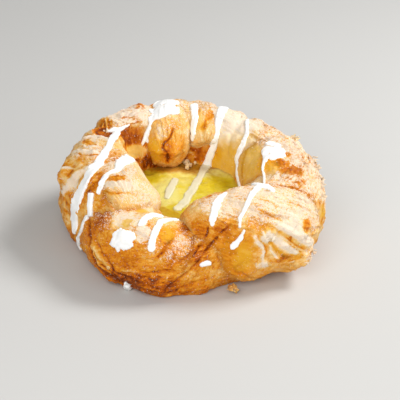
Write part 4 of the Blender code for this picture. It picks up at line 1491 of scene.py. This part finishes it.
def crumbs(
    name: str, centres: Array, radii: Array, seed: int, bake: Array, sugar: Array, soak: float
) -> Object:
    """Joined crumbs: small balls made lumpy by noise, each with 12 by 8 faces.

    Args:
        name: the piece's name.
        centres: the crumbs' middles.
        radii: their radii.
        seed: where the noise is read.
        bake: how brown each is.
        sugar: how dusted each is.
        soak: how soaked all are.

    Returns:
        The object.
    """
    rows, columns, count = 9, 12, len(centres)
    u = np.linspace(0, math.pi, rows)[:, None]
    v = np.linspace(0, TURN, columns + 1)[None, :-1]
    ball = turned(np.sin(u), v, np.cos(u))
    moved = ball[None] + 7.0 * np.arange(seed, seed + count)[:, None, None, None]
    lumpy = ball[None] * (1 + 0.8 * LUMPS.at(moved, 0.9))[..., None]
    points = centres[:, None, None, :] + lumpy * radii[:, None, None, None]
    size = rows * columns
    looks = dough_looks(np.repeat(bake, size), np.repeat(sugar, size), soak)
    return new_object(name, points, repeated(closed_faces(rows, columns), count, size), looks)


def grains(name: str, centres: Array, radii: Array, seed: int) -> Object:
    """Joined sugar grains: octahedra with their corners pushed about at random."""
    rng = np.random.default_rng(seed)
    axes = np.array(((1, 0, 0), (0, 1, 0), (-1, 0, 0), (0, -1, 0), (0, 0, 1), (0, 0, -1)), float)
    ring = ((0, 1), (1, 2), (2, 3), (3, 0))
    faces = np.array([(a, b, 4) for a, b in ring] + [(b, a, 5) for a, b in ring])
    count = len(centres)
    spread = axes[None] * rng.uniform(0.6, 1.3, (count, 6, 1)) + rng.normal(0, 0.15, (count, 6, 3))
    points = centres[:, None, :] + spread * radii[:, None, None]
    return new_object(name, points, repeated(faces, count, len(axes)))


# ---- finishes


def paint(*display: float) -> tuple[float, ...]:
    """A colour given as display values from 0 to 255, as the linear values shaders take."""
    shares = [value / 255 for value in display]
    return (*(s / 12.92 if s <= 0.04045 else ((s + 0.055) / 1.055) ** 2.4 for s in shares), 1.0)


def operator(kind: str, swapped: bool = False) -> Callable:
    """A method that puts a Math node on two numbers, the second one first if swapped."""
    def method(self: "Number", other: Any) -> "Number":
        """The Math node's result."""
        return self.math(kind, *((other, self) if swapped else (self, other)))

    return method


class Number:
    """A shader number that Python's operators work on."""

    def __init__(self, shader: "Shader", socket: Socket) -> None:
        """Wrap the socket that gives the number."""
        self.shader = shader
        self.socket = socket

    def math(self, operation: str, *values: Any, clamp: bool = False) -> "Number":
        """A Math node on the values."""
        settings = {"operation": operation, "use_clamp": clamp}
        node = self.shader.node("ShaderNodeMath", settings, dict(enumerate(values)))
        return Number(self.shader, node.outputs[0])

    __add__ = __radd__ = operator("ADD")
    __sub__, __rsub__ = operator("SUBTRACT"), operator("SUBTRACT", swapped=True)
    __mul__ = __rmul__ = operator("MULTIPLY")

    def clamped(self) -> "Number":
        """The number kept from 0 to 1."""
        return self.math("ADD", self, 0.0, clamp=True)

    def between(self, low: float, high: float) -> "Number":
        """0 at low and 1 at high, straight between."""
        return self.math("MULTIPLY", self - low, 1 / (high - low), clamp=True)


class Shader:
    """A material's nodes, made by one method, with short ones for what is used often."""

    def __init__(self, name: str) -> None:
        """Start a material with its Principled shader."""
        self.material = bpy.data.materials.new(name)
        self.material.use_nodes = True
        self.tree = self.material.node_tree
        self.surface = self.tree.nodes["Principled BSDF"]
        self.place = self.node("ShaderNodeTexCoord", {}, {}).outputs["Object"]

    def put(self, node: bpy.types.Node, key: int | str, value: Any) -> None:
        """Give one input, by number, identifier or name, a link or a value."""
        if isinstance(key, int):
            target = node.inputs[key]
        else:
            target = next(s for s in node.inputs if key in (s.identifier, s.name))
        value = value.socket if isinstance(value, Number) else value
        if isinstance(value, Socket):
            self.tree.links.new(value, target)
        else:
            target.default_value = value

    def node(self, kind: str, settings: dict[str, Any], inputs: dict[Any, Any]) -> bpy.types.Node:
        """Add a node.

        Args:
            kind: the node's type.
            settings: its own properties; "stops" are a ramp's positions and colours.
            inputs: values or links, by the input's number, identifier or name.

        Returns:
            The node.
        """
        node = self.tree.nodes.new(kind)
        for name, value in settings.items():
            if name != "stops":
                setattr(node, name, value)
                continue
            elements = node.color_ramp.elements
            while len(elements) < len(value):
                elements.new(1.0)
            for element, (position, colour) in zip(elements, value):
                element.position, element.color = position, colour
        for key, value in inputs.items():
            self.put(node, key, value)
        return node

    def look(self, name: str) -> Number:
        """A point attribute."""
        node = self.node("ShaderNodeAttribute", {"attribute_name": name}, {})
        return Number(self, node.outputs["Fac"])

    def noise(self, size: float, detail: float = 2.0, rough: float = 0.5) -> Number:
        """Noise with features of a size in millimetres, about 0 to 1."""
        inputs = {"Vector": self.place, "Scale": 1 / MM / size, "Detail": detail, "Roughness": rough}
        return Number(self, self.node("ShaderNodeTexNoise", {}, inputs).outputs["Fac"])

    def ramp(self, factor: Number, stops: Sequence[tuple]) -> Socket:
        """A colour read from stops."""
        return self.node("ShaderNodeValToRGB", {"stops": stops}, {"Fac": factor}).outputs["Color"]

    def mix(self, factor: Any, first: Any, second: Any) -> Socket:
        """Two colours mixed."""
        inputs = {"Factor_Float": factor, "A_Color": first, "B_Color": second}
        node = self.node("ShaderNodeMix", {"data_type": "RGBA"}, inputs)
        return next(s for s in node.outputs if s.identifier == "Result_Color")

    def bump(self, height: Number, distance: float) -> Socket:
        """Normals from a height of 0 to 1 that stands for a distance in millimetres."""
        inputs = {"Height": height, "Distance": distance * MM, "Strength": 1.0}
        return self.node("ShaderNodeBump", {}, inputs).outputs["Normal"]

    def finish(self, **inputs: Any) -> Material:
        """Set the surface's inputs, with spaces for underscores in their names."""
        for name, value in inputs.items():
            self.put(self.surface, name.replace("_", " "), value)
        return self.material


@dataclass(frozen=True)
class DoughFinish:
    """Laminated dough, pale to dark, sugar-dusted, custard-soaked, with painted light and shade."""

    crust: tuple = (
        (0.0, paint(238, 214, 172)), (0.2, paint(232, 192, 120)), (0.42, paint(222, 150, 40)),
        (0.62, paint(204, 114, 4)), (0.82, paint(160, 74, 2)), (1.0, paint(92, 34, 2)),
    )
    # also painted light: mixed in where the sugar look carries painted light as well as real dusting
    sugar: tuple = paint(232, 214, 193)
    soaked: tuple = paint(222, 172, 38)
    # also painted shade: the colour of real cracks, and of shade painted where pieces meet and in
    # grooves
    crack: tuple = paint(140, 66, 10)

    def make(self) -> Material:
        """The material, read from the dough's looks and noise in its own coordinates."""
        shader = Shader("baked_dough")
        fine, mottle = shader.noise(0.9, 3.0, 0.6), shader.noise(2.6, 3.0, 0.55)
        broad, grit = shader.noise(8.0), shader.noise(0.45)
        height = (0.6 * fine + 0.4 * grit) * (1.0 - 0.6 * shader.look("soft"))
        fine, mottle, broad, grit = (noise - 0.5 for noise in (fine, mottle, broad, grit))
        uneven = 0.3 * mottle + 0.35 * fine + 0.12 * broad + 0.25 * grit
        # the browning look carries painted shade in hollows and under folds as well as real browning
        bake = shader.look("bake") + uneven * (1.0 - 0.75 * shader.look("soft"))
        colour = shader.ramp(bake.clamped(), self.crust)
        soak = (shader.look("soak") + 0.5 * mottle).between(0.1, 0.8)
        colour = shader.mix(soak * 0.75, colour, self.soaked)
        colour = shader.mix(shader.look("crack") * 0.7, colour, self.crack)
        dusted_and_lit = (shader.look("sugar") + 1.9 * fine + 0.8 * mottle + 1.3 * grit).between(0.38, 0.72)
        return shader.finish(
            Base_Color=shader.mix(dusted_and_lit * 0.85, colour, self.sugar),
            Roughness=(0.46 + 0.4 * dusted_and_lit + 0.1 * mottle).clamped(),
            Specular_IOR_Level=0.1,
            Subsurface_Weight=0.08,
            Subsurface_Radius=(1.0, 0.5, 0.25),
            Subsurface_Scale=0.002,
            Normal=shader.bump(height, 0.22),
        )


@dataclass(frozen=True)
class CustardFinish:
    """Set custard: glossy, slightly translucent, deeper where it is thick."""

    depths: tuple = ((0.0, paint(202, 176, 4)), (0.5, paint(214, 192, 48)), (1.0, paint(224, 212, 122)))
    # painted shade: this brown darkens the custard's back edge under the lobes and its rim against the
    # dough
    browned: tuple = paint(170, 104, 2)

    def make(self) -> Material:
        """The material, mottled at two sizes."""
        shader = Shader("custard")
        broad, small = shader.noise(9.0), shader.noise(2.5)
        paleness = 1.15 - shader.look("soak") + 1.5 * (broad - 0.5) + 0.7 * (small - 0.5)
        yellow = shader.ramp(paleness.clamped(), self.depths)
        return shader.finish(
            Base_Color=shader.mix(shader.look("crack") * 0.85, yellow, self.browned),
            Roughness=0.34,
            Specular_IOR_Level=0.4,
            Subsurface_Weight=0.35,
            Subsurface_Radius=(0.9, 0.8, 0.25),
            Subsurface_Scale=0.004,
            Normal=shader.bump(0.7 * small + 0.3 * shader.noise(0.9), 0.15),
        )


@dataclass(frozen=True)
class IcingFinish:
    """White sugar icing, set hard with a faint grain."""

    white: tuple = paint(250, 250, 248)
    shade: tuple = paint(244, 241, 234)
    thin: tuple = paint(210, 202, 158)

    def make(self) -> Material:
        """The material: nearly flat white with small dimples, yellower where it is thin."""
        shader = Shader("sugar_icing")
        small = shader.noise(1.6)
        white = shader.mix(small.between(0.45, 0.75), self.white, self.shade)
        return shader.finish(
            Base_Color=shader.mix(shader.look("thin") * 0.8, white, self.thin),
            Roughness=0.42,
            Subsurface_Weight=0.15,
            Subsurface_Radius=(1.0, 0.95, 0.9),
            Subsurface_Scale=0.001,
            Normal=shader.bump(small, 0.12),
        )


@dataclass(frozen=True)
class FloorFinish:
    """Plain pale floor."""

    colour: tuple = paint(196, 195, 192)
    mottle: tuple = paint(184, 182, 178)

    def make(self) -> Material:
        """The material: matt, with the faintest mottle."""
        shader = Shader("pale_floor")
        colour = shader.mix(shader.noise(60.0) * 0.06, self.colour, self.mottle)
        return shader.finish(Base_Color=colour, Roughness=0.85)


# ---- studio


@dataclass(frozen=True)
class SoftBox:
    """A square area light aimed at the pastry."""

    name: str
    place: Point
    size: float
    power: float

    def build(self) -> None:
        """Make the light, turned to the pastry's middle."""
        light = bpy.data.lights.new(self.name, "AREA")
        light.shape = "SQUARE"
        light.size = self.size
        light.energy = self.power
        item = linked(self.name, light)
        item.location = Vector(self.place)
        away = item.location - Vector((0, 0, 0.02))
        item.rotation_euler = away.to_track_quat("Z", "Y").to_euler()


@dataclass(frozen=True)
class Camera:
    """The camera, aimed at the pastry and rolled a little."""

    aim: Point = (-0.45, -3.75, 20.0)  # millimetres
    distance: float = 0.6
    elevation: float = 29.0
    roll: float = 4.5
    lens: float = 123.57
    shift: tuple[float, float] = (0.02, 0.00625)

    def build(self) -> None:
        """Make the camera and put it in use."""
        camera = bpy.data.cameras.new("camera")
        camera.lens = self.lens
        camera.sensor_width = 36.0
        camera.shift_x, camera.shift_y = self.shift
        camera.clip_start = 0.01
        item = linked("camera", camera)
        tilt, roll = math.radians(self.elevation), math.radians(self.roll)
        forward = Vector((0, math.cos(tilt), -math.sin(tilt)))
        level = Vector((1, 0, 0))
        upright = Vector((0, math.sin(tilt), math.cos(tilt)))
        right = level * math.cos(roll) + upright * math.sin(roll)
        top = upright * math.cos(roll) - level * math.sin(roll)
        item.matrix_world = Matrix.Translation(Vector(self.aim) * MM - forward * self.distance) @ (
            Matrix((right, top, -forward)).transposed().to_4x4()
        )
        bpy.context.scene.camera = item


@dataclass(frozen=True)
class Studio:
    """Floor, soft light and surroundings."""

    lights: tuple[SoftBox, ...] = (
        SoftBox("key", (0.44, 0.2, 0.58), 0.25, 4.55),
        SoftBox("fill", (-0.15, -0.6, 0.45), 0.5, 3.7),
        SoftBox("side", (0.5, -0.32, 0.16), 0.4, 0.85),
    )
    glow: float = 0.32
    reach: float = 1500.0  # millimetres from the middle to the floor's edges

    def build(self) -> None:
        """Make the floor, the lights and an even pale surrounding."""
        corners = np.array(((-1, -1, 0), (1, -1, 0), (1, 1, 0), (-1, 1, 0)), float) * self.reach
        floor = new_object("floor", corners - RECENTRE, np.array(((0, 1, 2, 3),)))
        floor.data.materials.append(FloorFinish().make())
        for light in self.lights:
            light.build()
        world = bpy.data.worlds.new("surroundings")
        world.use_nodes = True
        background = world.node_tree.nodes["Background"]
        background.inputs["Color"].default_value = (1.0, 1.0, 1.0, 1.0)
        background.inputs["Strength"].default_value = self.glow
        bpy.context.scene.world = world
        bpy.context.scene.view_settings.view_transform = "Standard"


# ---- the whole


@dataclass
class Pastry:
    """All the pieces, and the finishes they share."""

    dough_finish: Material = field(default_factory=DoughFinish().make)
    icing_finish: Material = field(default_factory=IcingFinish().make)
    custard_finish: Material = field(default_factory=CustardFinish().make)
    skins: list[Skin] = field(default_factory=list)  # of the exposed dough

    def dress(self, item: Object, material: Material) -> None:
        """Give a piece its finish and its slot, and let it ride on the body."""
        item.data.materials.append(material)
        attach(item, "root")
        LOG.info("%s: %d faces", item.name, len(item.data.polygons))

    def build_dough(self) -> list[DoughPiece]:
        """The ring, its folds and the bed, and the custard in the middle."""
        dough = [Ring(sections=SECTIONS, creases=CREASES, pulls=RING_PULLS), *make_folds()]
        for piece in dough:
            piece.neighbours = [other for other in dough if other is not piece]
        for piece in [*dough, Bed()]:
            item, skin = piece.build()
            self.dress(item, self.dough_finish)
            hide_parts("dough")
            if piece.name != "bed":
                self.skins.append(skin)
        custard = Custard(neighbours=dough)
        item, _ = custard.build()
        self.dress(item, self.custard_finish)
        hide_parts("custard_filling")
        return [*dough, custard]

    def scatter(self, rng: np.random.Generator, count: int, weigh: Callable) -> tuple[Array, ...]:
        """Random points on the exposed dough.

        Args:
            rng: the random draws.
            count: how many points to draw.
            weigh: gives each point's weight from points, normals and sugar.

        Returns:
            The points, their normals, and the dough's bake and sugar there.
        """
        found = []
        for skin in self.skins:
            surface, sugar = skin.points, skin.looks["sugar"]
            spread = length(np.gradient(surface, axis=0)) * length(np.gradient(surface, axis=1))
            free = (skin.gap > FREE_GAP) & (surface[..., 2] > FREE_HEIGHT)
            weight = weigh(surface, skin.normals, sugar) * spread * free
            columns = (surface, skin.normals, skin.looks["bake"], sugar, weight)
            found.append([column.reshape(weight.size, -1) for column in columns])
        points, normals, bake, sugar, weights = (np.concatenate(column) for column in zip(*found))
        picks = rng.choice(len(weights), count, p=weights[:, 0] / weights.sum())
        return points[picks], normals[picks], bake[picks, 0], sugar[picks, 0]

    def build_scales(self, name: str, count: int, size: float, lift: float, weigh: Callable) -> None:
        """Scales of crust that lie on the dough or stand off it, coloured like it.

        Args:
            name: the piece's name.
            count: how many scales.
            size: the length of the longest, in millimetres.
            lift: how steeply the steepest stands.
            weigh: gives each point's weight from points, normals and sugar.
        """
        rng = np.random.default_rng(count)
        points, normals, bake, sugar = self.scatter(rng, count, weigh)
        outs = rng.standard_normal((count, 3)) + np.array((0.4, 0.2, 0.6))
        outs = unit(outs - (outs * normals).sum(axis=-1)[:, None] * normals)
        lifts = rng.uniform(0.0, lift, count)[:, None]
        lengths = size * rng.uniform(0.3, 1.0, count)
        flakes = Flakes(
            name, points - 0.15 * normals - 0.2 * lengths[:, None] * outs, unit(outs + lifts * normals),
            unit(normals - lifts * outs), lengths, lengths * rng.uniform(0.3, 0.6, count),
            rng.uniform(0.0, 0.5, count) * lift, bake=bake + rng.uniform(-0.22, 0.1, count),
            sugar=sugar + rng.uniform(-0.2, 0.3, count), seed=8,
        )
        self.dress(flakes.build(), self.dough_finish)

    def build_flakes(self) -> None:
        """Loose scales: many flat ones all over, and some that stand off the rim."""
        def rim(points: Array, normals: Array, sugar: Array) -> Array:
            """More on the outer wall, to the right and the back."""
            right = ease(-20, 40, 0.8 * points[..., 0] + 0.6 * points[..., 1])
            return ease(0.1, 0.6, outward(points, normals)) * (0.12 + right) * ease(2, 8, points[..., 2])

        def anywhere(points: Array, normals: Array, sugar: Array) -> Array:
            """Everywhere but on the wall of the hole, in patches."""
            patch = ease(-0.3, 0.4, FLAKED.at(points, 7.0)) * (0.1 + sugar)
            return ease(26, 36, off_axis(points)) * patch * ease(1, 5, points[..., 2])

        self.build_scales("flakes_rim", count=320, size=2.1, lift=0.3, weigh=rim)
        self.build_scales("flakes_flat", count=1100, size=1.7, lift=0.07, weigh=anywhere)

    def build_tufts(self) -> None:
        """The shaggy bunches of scales and lumps at the rim, the front corner and the foot."""
        rng = np.random.default_rng(21)
        sizes = [tuft.count for tuft in TUFTS]
        at, out, spread, reach, bake, sugar = (
            np.repeat([getattr(tuft, name) for tuft in TUFTS], sizes, axis=0)
            for name in ("at", "out", "spread", "reach", "bake", "sugar")
        )
        count = len(at)
        centres = lifted(at + rng.normal(0, 0.6, (count, 3)) * spread[:, None], TUFT_LOW)
        outs = unit(out + 0.45 * rng.standard_normal((count, 3)))
        facing = np.array((0.2, -0.5, 0.8)) + 0.45 * rng.standard_normal((count, 3))
        normals = unit(facing - (facing * outs).sum(axis=-1)[:, None] * outs)
        lengths = reach * rng.uniform(0.6, 1.15, count)
        bake = bake + rng.uniform(-0.12, 0.15, count)
        sugar = sugar + rng.uniform(-0.3, 0.3, count)
        flakes = Flakes(
            "flakes_tufts", centres - 0.25 * lengths[:, None] * outs, outs, normals, 1.2 * lengths,
            lengths * rng.uniform(0.35, 0.6, count), rng.uniform(-0.2, 0.7, count), bake, sugar, seed=22,
        )
        self.dress(flakes.build(), self.dough_finish)
        lumps = centres + 0.5 * rng.normal(0, 0.6, (count, 3)) * spread[:, None]
        radii = 0.42 * rng.uniform(0.5, 1.2, count)
        item = crumbs("crumbs_rim", lifted(lumps, 1.9 * radii), radii, 5, bake, sugar, 0.0)
        self.dress(item, self.dough_finish)

    def build_crumbs(self) -> None:
        """A few crumbs on the custard, under the lobes at the back."""
        rng = np.random.default_rng(31)
        count = 10
        centres = np.array((-2.5, 29.0, 24.0)) + rng.normal(0, 1, (count, 3)) * (3.2, 2.4, 0.4)
        radii = rng.uniform(0.4, 1.2, count)
        item = crumbs("crumbs", centres, radii, 2, 0 * radii, 0 * radii + 0.3, 0.3)
        self.dress(item, self.dough_finish)

    def build_sugar(self) -> None:
        """Sugar grains where the dough is dusted, and where the sugar look carries painted light."""
        def dusted_and_lit(points: Array, normals: Array, sugar: Array) -> Array:
            """More where the sugar look, partly painted light, is thick."""
            return sugar**1.5 + 0.01

        rng = np.random.default_rng(12)
        count = 9000
        points, normals, _, _ = self.scatter(rng, count, dusted_and_lit)
        sugar = grains("sugar_grains", points + 0.05 * normals, rng.uniform(0.06, 0.15, count), seed=13)
        self.dress(sugar, self.icing_finish)

    def build(self) -> None:
        """Make everything in order."""
        pieces = self.build_dough()
        for drizzle in DRIZZLES:
            self.dress(drizzle.build(pieces), self.icing_finish)
        self.build_flakes()
        self.build_tufts()
        self.build_crumbs()
        self.build_sugar()


def main() -> None:
    """Build the studio and the pastry."""
    logging.basicConfig(level=logging.INFO, format="%(message)s")
    Camera().build()
    Studio().build()
    Pastry().build()


if __name__ == "__main__":
    main()
